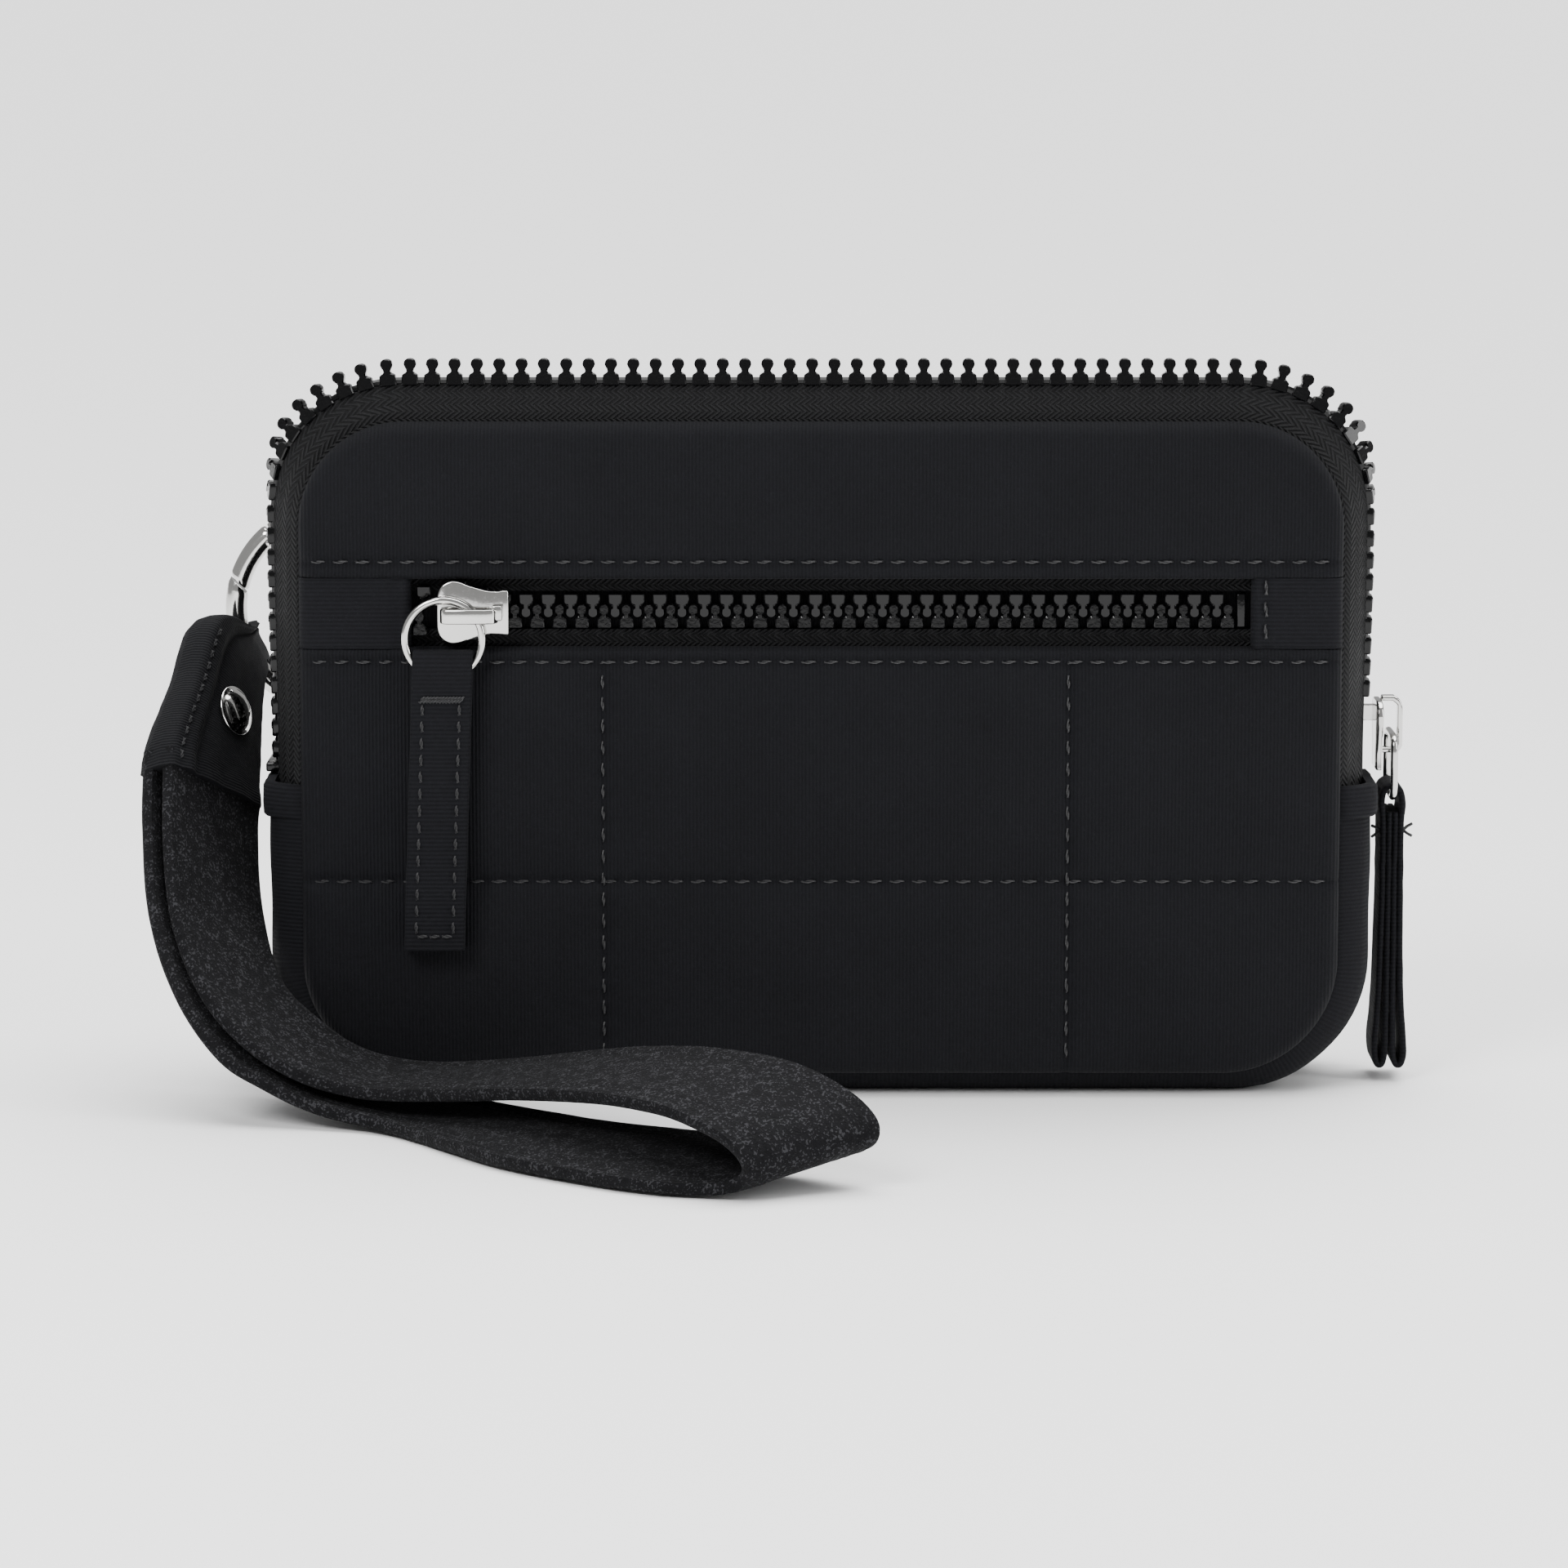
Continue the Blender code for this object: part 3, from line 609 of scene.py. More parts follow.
def back_face(x, z):
    """The back cloth; the sewn ring loop pulls it flat around the gate ring."""
    edge = seam_depth(x, z)
    loose = 1 - math.exp(-((x + 76) / 26) ** 2 - ((z - 80) / 27) ** 2)
    swell = 1.3 * (1 - math.exp(-edge / 9.0)) + 0.3 * noise.noise(Vector((x / 22, z / 17, 5.5)))
    return FACE + swell * loose - turned(edge, *EDGE_ROLL)


print("front cloth stands out", round(front_face(0, QUILT_Z + 20), 2), "mm")

# %% [markdown]
# ## Three panels
# Each panel is a grid over its outline. Its rows crowd towards the edges, where the cloth
# rolls over, and a coarser flat back closes it, so that the foam has its thickness.

# %% Three panels
def padded_panel(name, low_z, high_z, face, side, columns, rows, node, body):
    """A grid over the panel, closed by a flat back at the foam's depth."""
    inner = side * (FACE - 2.35)
    sections = []
    for i in range(columns + 1):
        x = -HALF + 2 * HALF * (0.5 - 0.5 * math.cos(math.pi * i / columns)) * 0.12
        x += 2 * HALF * 0.88 * i / columns
        front, back = [], []
        for j in range(rows + 1):
            crowd = PANEL_CROWD / math.tau * -math.sin(math.tau * j / rows) * 0.5
            z = low_z + (high_z - low_z) * (j / rows + crowd)
            px, pz = into_corner(x, z)
            px *= PANEL_SHRINK
            front.append((px, side * face(px, pz), pz))
        for j in range(0, rows + 1, 10):
            px, _, pz = front[j]
            back.append((px, inner, pz))
        sections.append(front + back[::-1])
    piece = skin(sections)
    sewn(piece, name, panel_cloth, body, node)


FINE = 1
padded_panel("lower_front_panel", BOTTOM, HEM_LOW, front_face, -1, 300 // FINE, 130 // FINE,
             "front_panel_lower", "front_half")
padded_panel("upper_front_panel", HEM_HIGH, TOP, front_face, -1, 300 // FINE, 60 // FINE,
             "front_panel_upper", "front_half")
padded_panel("padded_back_panel", BOTTOM, TOP, back_face, 1, 180 // FINE, 100 // FINE,
             "back_panel", "root")

# %% [markdown]
# ## Stitches
# A seam in heavy thread shows as short twisted dashes that dive into the cloth at both
# ends. One dash is two strands wound round each other. It is made once and copied along
# each seam, a little uneven, as a machine's feed leaves them.

# %% One stitch and its places
STITCH, STRAND = 2.7, 0.17


def one_stitch(length):
    strands = []
    for phase in (0.0, math.pi):
        sections = []
        for k in range(9):
            t = k / 8
            turn = phase + math.tau * 0.9 * t
            dive = 0.42 * (2 * t - 1) ** 4
            middle = Vector((length * (t - 0.5), 0.15 * math.cos(turn),
                             0.12 + 0.15 * math.sin(turn) - dive))
            sections.append([middle + Vector((0, STRAND * c, STRAND * s)) for c, s in circle(5)])
        strands.append(skin(sections))
    return join(strands)


def seam_places(points, facing, spacing, skew):
    """Matrices for stitches along a polyline: local X along it, local Z out of the cloth."""
    places, carried, index = [], spacing / 2, 0
    out = facing.normalized()
    for a, b in zip(points, points[1:]):
        step = b - a
        while carried <= step.length:
            along = step.normalized()
            along = (along - out * along.dot(out)).normalized()
            twist = skew + 0.05 * math.sin(index * 2.3)
            along = (along + out.cross(along) * twist).normalized()
            places.append(standing(a.lerp(b, carried / step.length), along, out.cross(along), out))
            carried += spacing
            index += 1
        carried -= step.length
    return places


def stitch_row(name, points, facing, body, spacing=PITCH, length=STITCH, skew=0.10):
    sewn(copies(one_stitch(length), seam_places(points, facing, spacing, skew)), name, thread, body, None)


print("one stitch covers", STITCH, "mm of every", PITCH, "mm")

# %% [markdown]
# ## Rows on the front
# Two rows hold the hems of the pocket's window and three quilt the panel. Each follows
# the height of the cloth, so it dips and rises with it and never floats.

# %% Rows on the front
THREAD_LIFT, ROW_POINTS = 0.08, 60


def on_front(x, z):
    return Vector((x, -front_face(x, z) - THREAD_LIFT, z))


def front_row(name, start, end):
    """A row of stitches on the front cloth between two points in X and Z."""
    points = [on_front(start[0] + (end[0] - start[0]) * k / ROW_POINTS,
                       start[1] + (end[1] - start[1]) * k / ROW_POINTS) for k in range(ROW_POINTS + 1)]
    stitch_row(name, points, FRONTWARDS, "front_half")


for name, z in (("hem_stitches_upper", HEM_STITCH_HIGH), ("hem_stitches_lower", HEM_STITCH_LOW),
                ("quilt_stitches_across", QUILT_Z)):
    front_row(name, (-HALF + 1.5, z), (HALF - 1.5, z))
for label, line in zip(("left", "right"), QUILT_X):
    front_row(f"quilt_stitches_{label}", (line, HEM_STITCH_LOW - 1.5), (line, BOTTOM + 1.5))

# %% [markdown]
# ## Bands: gusset and zip tapes
# The gusset is one band of the same cloth, cut across the ribs, that runs down one side,
# under the pouch and up the other. The main zip's two tapes carry on from it over the
# top. All three follow the seam's route, so the route is worked out once.

# %% The seam's route
def seam_route(end_z, over_top, steps):
    """Points and outward directions along the seam, from the left side to the right."""
    radius, edge_z, turn = (TOP_CORNER, TOP, 1) if over_top else (BOTTOM_CORNER, BOTTOM, -1)
    route = [(Vector((-HALF, 0, end_z)), Vector((-1, 0, 0)))]
    for side in (-1, 1):
        for k in range(steps + 1):
            part = k / steps if side < 0 else 1 - k / steps
            quarter = math.pi / 2 * part
            outward = Vector((side * math.cos(quarter), 0, turn * math.sin(quarter)))
            centre = Vector((side * (HALF - radius), 0, edge_z - turn * radius))
            route.append((centre + outward * radius, outward))
    return route + [(Vector((HALF, 0, end_z)), Vector((1, 0, 0)))]


def even_route(route, spacing):
    """The same route with points at an even spacing."""
    lengths = [0.0]
    for (a, _), (b, _) in zip(route, route[1:]):
        lengths.append(lengths[-1] + (b - a).length)
    count = max(2, round(lengths[-1] / spacing))
    result, i = [], 0
    for k in range(count + 1):
        place = lengths[-1] * k / count
        while i < len(route) - 2 and lengths[i + 1] < place:
            i += 1
        t = (place - lengths[i]) / (lengths[i + 1] - lengths[i])
        here, onward = route[i], route[i + 1]
        result.append((here[0].lerp(onward[0], t), here[1].lerp(onward[1], t).normalized()))
    return result


EDGE_STAND, EDGE_PART, OPENING_LENGTH = 4.7, 4.8, 40


def zip_edge(point, outward, side):
    """The route of the front (-1) or back (1) tape's toothed edge, and where its teeth point."""
    opened, top = ease((point.z - ZIP_END - 4) / OPENING_LENGTH), ease(outward.z)
    if side < 0:
        apart = Vector((0, -EDGE_PART - 4.5 * opened - 4.9 * top, 0))
        edge = point + outward * (EDGE_STAND + 2.1 * top) + apart
        rise = outward * (0.1 + 0.88 * top) + Vector((0, 1.0 - 0.95 * top, 0))
    else:
        edge = point + outward * (EDGE_STAND - 2.2 * top) + Vector((0, EDGE_PART + 3.7 * opened, 0))
        rise = outward * 0.1 - Vector((0, 1, 0))
    return edge, rise.normalized()


print("seam route over the top:", len(seam_route(ZIP_END, True, 16)), "points")

# %% [markdown]
# ## Gusset
# The band is sewn to both panels and drawn in at its seams, so it bulges at the sides and
# lies flat underneath.

# %% Gusset
def band_rise(y):
    """One in the middle of the band, falling off towards its two seams."""
    return 1 - max(0.0, (abs(y) - BAND_FLAT) / BAND_DRAW) ** 2.2


def make_gusset():
    """Bulged at the sides, flat underneath, drawn in at both seams."""
    across = [-16.8, -16.4, -15.6, -14.4, -12, -8, -4, 0, 4, 8, 12, 14.4, 15.6, 16.4, 16.8]
    sections = []
    for point, outward in even_route(seam_route(ZIP_END - 0.4, False, 16), 1.6):
        reach = BOTTOM + (OUTER_HALF - HALF - BOTTOM) * abs(outward.x)
        stand = abs(outward.z) > 0.95
        outer = []
        for y in across:
            wave = 0.0 if stand else 0.18 * noise.noise(Vector((point.x / 9, y / 5, point.z / 9)))
            outer.append(point + outward * (reach * band_rise(y) + wave) + Vector((0, y, 0)))
        sections.append(outer + [p - outward * 1.3 for p in reversed(outer)])
    fold = ("root", "front_half", (0, -0.010, 0), (0, -0.0168, 0))
    sewn(skin(sections), "gusset_band", band_cloth, fold, "gusset")


make_gusset()

# %% [markdown]
# ## Main zip tapes
# Each tape is sewn in behind its panel's seam and curls up over it. It could be a flat
# strip bent by a modifier; drawing its section at every step of the route is surer,
# because the curl changes from the sides to the top.

# %% Main zip tapes
MOUTH_BLEND = ("root", "front_half", (0, -0.005, 0), (0, -0.0145, 0))


def make_main_tape(side, name, node, body):
    """Woven tape: flat behind the panel, curling up over the seam to its toothed edge."""
    route = even_route(seam_route(ZIP_END + 0.2, True, 16), 1.3)
    frames = [(point, outward, *zip_edge(point, outward, side)) for point, outward in route]
    middles = [frame[0] for frame in frames]
    sections = []
    for i, (point, outward, edge, rise) in enumerate(frames):
        knee = point + Vector((0, side * 16.5, 0))
        line = [knee - outward * 3.2, knee - outward * 1.2]
        bend, end = knee + outward * 1.6, edge - rise * 0.15
        for k in range(1, 8):
            t = k / 7
            line.append(line[1] * (1 - t) ** 2 + bend * 2 * t * (1 - t) + end * t * t)
        along = heading(middles, i).normalized()
        upper, lower = [], []
        for k, spot in enumerate(line):
            normal = along.cross(heading(line, k)).normalized() * 0.36
            upper.append(spot + normal)
            lower.append(spot - normal)
        sections.append(upper + lower[::-1])
    finish_piece(skin(sections), name, tape_weave, body, node)


make_main_tape(-1, "front_zip_tape", "main_tape_front", MOUTH_BLEND)
make_main_tape(1, "back_zip_tape", "main_tape_back", "root")

# %% [markdown]
# ## Moulded teeth
# Each tooth of a chunky moulded zip is a block that grips the tape's corded edge, a
# narrow neck and a round head that snaps between its neighbours. It is drawn as half an
# outline, mirrored, given its thickness and bevelled, then copied tooth by tooth.

# %% One tooth
def one_tooth(wide=1.0, tall=1.0, thick=2.5):
    half = [(0.0, -0.95), (1.32, -0.95), (1.42, -0.75), (1.36, 0.75), (1.18, 1.08), (0.62, 1.25),
            (0.55, 1.75), (0.74, 2.0), (1.04, 2.45), (1.07, 2.95), (0.84, 3.4), (0.45, 3.66), (0.0, 3.74)]
    bm = bmesh.new()
    outline = half + [(-x, z) for x, z in reversed(half[1:-1])]
    verts = [bm.verts.new((x * wide * MM, -thick / 2 * MM, z * tall * MM)) for x, z in outline]
    face = bm.faces.new(verts)
    grown = bmesh.ops.extrude_face_region(bm, geom=[face])["geom"]
    moved = [v for v in grown if isinstance(v, bmesh.types.BMVert)]
    bmesh.ops.translate(bm, vec=(0, thick * MM, 0), verts=moved)
    for vert in bm.verts:
        if vert.co.z > 1.9 * tall * MM:
            vert.co.y *= 0.84
    return round_edges(mesh_object(bm, "tooth"), 0.2, 1)


def tube_along(points, radius, sides=8):
    """A round cord through points in millimetres."""
    sections = []
    for i, point in enumerate(points):
        along = heading(points, i).normalized()
        side = along.cross(Vector((0.31, 0.87, 0.38))).normalized()
        up = along.cross(side)
        sections.append([point + side * (radius * c) + up * (radius * s) for c, s in circle(sides)])
    return skin(sections)


print("a tooth every", PITCH, "mm")

# %% [markdown]
# ## The open rows
# Teeth stand on a cord along each tape's edge, one pitch apart, from above the stop to
# above the slider. An array on a curve would turn them; a matrix each keeps them upright.

# %% Main rows
def make_main_row(side, name, node, body):
    """The teeth of one tape, from just above the stop to just above the slider."""
    route = even_route(seam_route(ZIP_END + 0.3, True, 24), 0.19)
    fine = [(point, *zip_edge(point, outward, side)) for point, outward in route]
    fine = [f for f in fine if f[0].z > ZIP_END + 4.2 and (f[0].x < 0 or f[0].z > MAIN_HIGH.z + 1.2)]
    places, carried = [], PITCH / 2
    for (_, a, _), (_, b, rise) in zip(fine, fine[1:]):
        carried += (b - a).length
        if carried < PITCH:
            continue
        carried -= PITCH
        along = (b - a).normalized()
        rise = (rise - along * rise.dot(along)).normalized()
        places.append(standing(b, along, rise.cross(along), rise))
    cord = tube_along([edge - rise * 0.2 for _, edge, rise in fine[::6]], 0.72)
    row = join([copies(one_tooth(), places), cord])
    finish_piece(row, name, plastic, body, node, 32)
    print(name, "has", len(places), "teeth")


make_main_row(-1, "front_tooth_row", "main_teeth_front", MOUTH_BLEND)
make_main_row(1, "back_tooth_row", "main_teeth_back", "root")

# %% [markdown]
# ## The closed pocket zip
# Behind the window the two rows mesh, half a pitch apart, and part inside the slider. The
# tapes are straight, so each is one section carried along X.

# %% Pocket zip: tapes and meshed rows
def make_pocket_tape(way, node):
    """A straight tape behind the window, with a raised cord along its toothed edge."""
    low, high = span(node)
    near, far = (high.z, low.z) if way > 0 else (low.z, high.z)
    sections = []
    for k in range(81):
        x = low.x + (high.x - low.x) * k / 80
        front = [(x, TAPE_FRONT + 0.03 * math.sin(k * 1.7), near + (far - near) * t)
                 for t in (0, 0.06, 0.12, 0.3, 0.5, 0.7, 0.85, 1)]
        lift = (0.25, 0.42, 0.12, 0, 0, 0, 0, 0)
        front = [(px, y - rise, z) for (px, y, z), rise in zip(front, lift)]
        back = [(x, TAPE_BACK, z) for _, _, z in reversed(front)]
        sections.append(front + back)
    label = "lower" if way > 0 else "upper"
    finish_piece(skin(sections), f"pocket_zip_tape_{label}", tape_weave, "front_half", node)


def make_pocket_row(way, node, shift):
    """Heads of the two rows sit side by side, and part inside the slider to pass its neck."""
    left, right = SLIDER_HIGH.x + FIRST_TOOTH + shift, WINDOW_RIGHT - 2.6
    places, x = [], left
    while x < right:
        places.append((x, 0.0))
        x += PITCH
    x = left - PITCH
    while x > SLIDER_LOW.x:
        places.append((x, ROW_PARTING * ease((SLIDER_LOW.x + 10.5 - x) / 6)))
        x -= PITCH
    places += [(WINDOW_LEFT + 1.4 + shift * 0.4, 1.3)]
    frames = []
    for x, drift in places:
        rise, along = Vector((0, 0, way)), Vector((way, 0, 0))
        spot = Vector((x, TOOTH_Y, CHAIN_Z - way * (TOOTH_REACH + drift)))
        frames.append(standing(spot, along, rise.cross(along), rise))
    label = "lower" if way > 0 else "upper"
    row = copies(one_tooth(0.86, 0.9, 2.4), frames)
    finish_piece(row, f"pocket_tooth_row_{label}", plastic, "front_half", node, 32)


make_pocket_tape(1, "pocket_tape_lower")
make_pocket_tape(-1, "pocket_tape_upper")
make_pocket_row(1, "pocket_teeth_lower", 0.0)
make_pocket_row(-1, "pocket_teeth_upper", PITCH / 2)

# %% [markdown]
# ## Small sewn and moulded pieces
# The window's two ends are folded strips of shell cloth with the grain turned across. A
# bent plane would do, but the fold and the roll into the seam need their own heights.

# %% Pocket ends
def rounded_box(low, high, radius, segments=3):
    """A box between two corners in millimetres, with its edges rounded."""
    low, high = Vector(low), Vector(high)
    bpy.ops.mesh.primitive_cube_add(size=1)
    block = only(bpy.context.object)
    block.scale = (high - low) * MM
    bpy.ops.object.transform_apply(location=False, rotation=False, scale=True)
    block.data.transform(Matrix.Translation((low + high) / 2 * MM))
    return round_edges(block, radius, segments)


def make_pocket_end(node, side):
    """A folded strip: its fold faces the zip and its far end rolls into the seam."""
    low, high = span(node)
    fold = high.x if side < 0 else low.x
    sections = []
    for i in range(13):
        z = low.z - 0.5 + (high.z - low.z + 1.0) * i / 12
        front = []
        for k in range(25):
            x = fold + side * (HALF - abs(fold)) * k / 24 * 0.999
            depth = abs(x - fold)
            y = WINDOW_END_FRONT + turned(depth, 0.9, 0.9) + turned(seam_depth(x, z), 2.6, 2.0)
            y += 0.28 * math.exp(-((depth - 2.4) / 0.7) ** 2)
            y += 0.12 * noise.noise(Vector((x / 4, z / 3, 2)))
            front.append((x, y, z))
        sections.append(front + [(front[-1][0], WINDOW_END_BACK, z), (fold, WINDOW_END_BACK, z)])
    label = "left" if side < 0 else "right"
    sewn(skin(sections), f"window_end_{label}", tab_cloth, "front_half", node)


make_pocket_end("pocket_end_left", -1)
make_pocket_end("pocket_end_right", 1)
stitch_row("right_window_stitches", [Vector((RIGHT_STITCH_X, -19.25, z)) for z in (79.0, 84.0, 89.4)],
           FRONTWARDS, "front_half")

# %% [markdown]
# ## End covers and stops
# Folded covers close both ends of the main zip, following the band's bulge, and each zip
# has a moulded stop, which is a block with rounded edges.

# %% End covers and stops
def make_end_cover(side, label):
    """A folded strip over the band's end, from the front seam to just past the teeth."""
    node = f"zip_end_cover_{label}"
    low, high = span(node)
    sections = []
    for k in range(29):
        y = -16.75 + 20.2 * k / 28
        out = HALF + (OUTER_HALF - HALF) * band_rise(y) + 1.1
        out += 0.12 * noise.noise(Vector((y / 3, side, 4)))
        bottom, top = low.z + 0.4 * math.sin(y / 6), high.z - 0.1
        profile = ((-2.0, bottom), (-0.5, bottom), (0, bottom + 0.5), (0.12, bottom + 2.6), (0, top - 0.6),
                   (-0.6, top), (-2.0, top))
        sections.append([(side * (out + x), y, z) for x, z in profile])
    sewn(skin(sections), f"{label}_end_cover", tab_cloth, "root", node)
    line = [Vector((side * (HALF + 4.6), -13.6, low.z + 0.9)),
            Vector((side * (OUTER_HALF + 0.9), -9, low.z + 1.0))]
    stitch_row(f"{label}_cover_stitches", line, Vector((side * 0.6, -1, 0)), "root", spacing=2.6,
               length=2.1)


make_end_cover(-1, "left")
make_end_cover(1, "right")
for node, body in (("main_bottom_stop", "root"), ("pocket_bottom_stop", "front_half")):
    low, high = span(node)
    finish_piece(rounded_box(low, high, 0.35), f"moulded_{node}", plastic, body, node, 40)

# %% [markdown]
# ## Sliders
# A slider is two shaped plates held apart by a neck at its crown, with a bridge on the
# outer plate that carries the pull. The crown, where the rows part, is broad and round;
# the tail, where they mesh, is square. Outlines are pushed to a thickness and bevelled.

# %% Plates and bridges
AXES = {"XZ": (0, 2, 1), "YZ": (1, 2, 0), "XY": (0, 1, 2)}


def plate(outline, near, far, plane, radius=0.3, segments=3):
    """A flat piece with rounded rims: an outline in millimetres, pushed from near to far."""
    u_axis, v_axis, w_axis = AXES[plane]

    def place(u, v, w):
        spot = Vector((0, 0, 0))
        spot[u_axis], spot[v_axis], spot[w_axis] = u, v, w
        return spot * MM

    bm = bmesh.new()
    face = bm.faces.new([bm.verts.new(place(u, v, near)) for u, v in outline])
    grown = bmesh.ops.extrude_face_region(bm, geom=[face])["geom"]
    moved = [v for v in grown if isinstance(v, bmesh.types.BMVert)]
    bmesh.ops.translate(bm, vec=place(0, 0, far - near), verts=moved)
    return round_edges(mesh_object(bm), radius, segments, 38)


def slider_outline(grow=0.0):
    """Half of the outer plate's outline from crown to tail, then mirrored: along, across."""
    half = [(-6.05, 1.2), (-5.95, 3.0), (-5.3, 4.5), (-3.9, 5.35), (-2.4, 5.3), (-0.8, 4.75), (1.0, 4.15),
            (2.8, 3.72), (4.4, 3.72), (6.15, 3.85)]
    half = [Vector((a + (grow if a < 0 else -grow), b - grow)) for a, b in half]
    line = curve_through(half, 4)
    return [(p.x, p.y) for p in line] + [(p.x, -p.y) for p in reversed(line)]


def bridge_outline(start, end, base, height, thick):
    """A low arch from the side: feet, rounded shoulders and a straight top."""
    top, inner = base + height, base + height - thick
    return [(start, base - 0.4), (start, top - 1.3), (start + 0.35, top - 0.45), (start + 1.2, top),
            (end - 2.2, top), (end - 0.7, top - 0.45), (end, top - 1.5), (end, base - 0.4),
            (end - thick, base - 0.4), (end - thick, inner - 0.9), (end - thick - 0.7, inner),
            (start + thick + 0.7, inner), (start + thick, inner - 0.9), (start + thick, base - 0.4)]


print("slider outline:", len(slider_outline()), "points")

# %% [markdown]
# ## Both sliders
# The two sliders are one design. The pocket's lies along X and the main one stands along
# Z, so one function builds the plates and is told which way along and across run.

# %% Both sliders
NECK = ((-5.0, -0.9), (-2.2, -0.35), (-2.2, 0.35), (-5.0, 0.9))


def slider_plates(place, plane, outer, inner, neck):
    """Two plates and the neck between them; each has its near and far face."""
    return join([plate([place(*spot) for spot in slider_outline()], *outer, plane, 0.35),
                 plate([place(*spot) for spot in slider_outline(0.7)], *inner, plane, 0.3),
                 plate([place(*spot) for spot in NECK], *neck, plane, 0.15, 1)])


def make_pocket_slider():
    middle = (SLIDER_LOW.x + SLIDER_HIGH.x) / 2
    plates = slider_plates(lambda along, across: (middle + along, CHAIN_Z + across), "XZ",
                           (-21.0, -19.8), (-15.5, -14.6), (-20.0, -15.2))
    metal(plates, "pocket_slider_plates", "pocket_slider", "pocket_slider_body")
    low, high = span("pocket_slider_bridge")
    shape = [(u, -v) for u, v in bridge_outline(low.x, high.x, -high.y, high.y - low.y, 0.95)]
    arch = plate(shape, CHAIN_Z - 1.55, CHAIN_Z + 0.95, "XY", 0.28)
    step = rounded_box((high.x - 1.0, low.y + 1.1, CHAIN_Z - 1.1),
                       (high.x + 0.75, high.y + 0.3, CHAIN_Z + 1.5), 0.3)
    metal(join([arch, step]), "pocket_bridge", "pocket_slider", "pocket_slider_bridge")


def make_main_slider():
    """Outside the tape, with its crown upwards."""
    middle = (MAIN_LOW.z + MAIN_HIGH.z) / 2
    plates = slider_plates(lambda along, across: (across, middle - along), "YZ",
                           (MAIN_HIGH.x - 1.15, MAIN_HIGH.x), (MAIN_LOW.x, MAIN_LOW.x + 0.9),
                           (MAIN_LOW.x + 0.5, MAIN_HIGH.x - 0.8))
    metal(plates, "main_slider_plates", "main_slider", "main_slider_body")
    low, high = span("main_slider_bridge")
    shape = [(v, u) for u, v in bridge_outline(low.z, high.z, low.x, high.x - low.x, 0.9)]
    metal(plate(shape, -1.2, 1.2, "XZ", 0.32), "main_bridge", "main_slider", "main_slider_bridge")


make_pocket_slider()
make_main_slider()

# %% [markdown]
# ## Rings
# The pocket's pull hangs on a round wire ring and the main pull on a squarer one. The
# wrist strap hangs on a spring gate ring, whose gate turns inwards on a pin and meets
# the ring in a slanted cut.

# %% Pull rings
def squared(angle, power):
    """A point of a circle that a power below one pushes towards a square."""
    return [math.copysign(abs(part) ** power, part) for part in (math.cos(angle), math.sin(angle))]


def wire_ring(centre, radius_u, radius_v, plane, wire, power=1.0):
    """A closed loop of wire."""
    u_axis, v_axis, w_axis = AXES[plane]
    sections = []
    for k in range(64):
        a = math.tau * k / 64
        shape = squared(a, power)
        flat = Vector((shape[0] * radius_u, shape[1] * radius_v))
        step = Vector((-math.sin(a) * radius_u, math.cos(a) * radius_v))
        if power != 1.0:
            onward = squared(a + 0.02, power)
            step = Vector((onward[0] * radius_u, onward[1] * radius_v)) - flat
        out = Vector((step.y, -step.x)).normalized()
        section = []
        for c, s in circle(14):
            spot = Vector(centre)
            spot[u_axis] += flat.x + out.x * wire * c
            spot[v_axis] += flat.y + out.y * wire * c
            spot[w_axis] += wire * s
            section.append(spot)
        sections.append(section)
    return skin(sections, closed=True)


def ring_from_box(node, name, body, plane, power):
    low, high = span(node)
    u_axis, v_axis, w_axis = AXES[plane]
    wire = (high[w_axis] - low[w_axis]) / 2
    ring = wire_ring((low + high) / 2, (high[u_axis] - low[u_axis]) / 2 - wire,
                     (high[v_axis] - low[v_axis]) / 2 - wire, plane, wire, power)
    metal(ring, name, body, node, 60)


ring_from_box("pocket_pull_ring", "pocket_wire_ring", "pocket_ring", "XZ", 1.0)
ring_from_box("main_pull_ring", "main_wire_ring", "main_ring", "YZ", 0.35)

# %% [markdown]
# ## Gate ring
# A torus can't be cut on a slant and stay a clean wire, so the ring is a loft that leans
# its last sections over. The gate is the same wire between the hinge and the cut.

# %% Gate ring
GATE_WIRE = 1.9
GATE_RADIUS = 17.2
GATE_CENTRE = Vector((-86.5, 24.0, 79.5))
HINGE, TIP = 127.5, 166.0
CUT = TIP - 0.9
CUT_SLANT = math.tan(math.radians(30))


def around_ring(degrees, out=0.0, aside=0.0):
    a = math.radians(degrees)
    return GATE_CENTRE + Vector((math.cos(a), 0, math.sin(a))) * (GATE_RADIUS + out) + Vector((0, aside, 0))


def ring_wire(start, end, steps, cut_at):
    """Wire from one angle to another; the end nearest to cut_at is cut on a slant."""
    sections = []
    for k in range(steps + 1):
        degrees = start + (end - start) * k / steps
        near = max(0.0, 1 - min(abs(degrees - cut_at), abs(degrees - 360 - cut_at)) / 14)
        thin = 0.9 if k in (0, steps) else 1.0
        section = []
        for c, s in circle(20):
            out, aside = GATE_WIRE * thin * c, GATE_WIRE * thin * s
            slide = -out * CUT_SLANT * near
            section.append(around_ring(degrees + math.degrees(slide / GATE_RADIUS), out, aside))
        sections.append(section)
    return skin(sections)


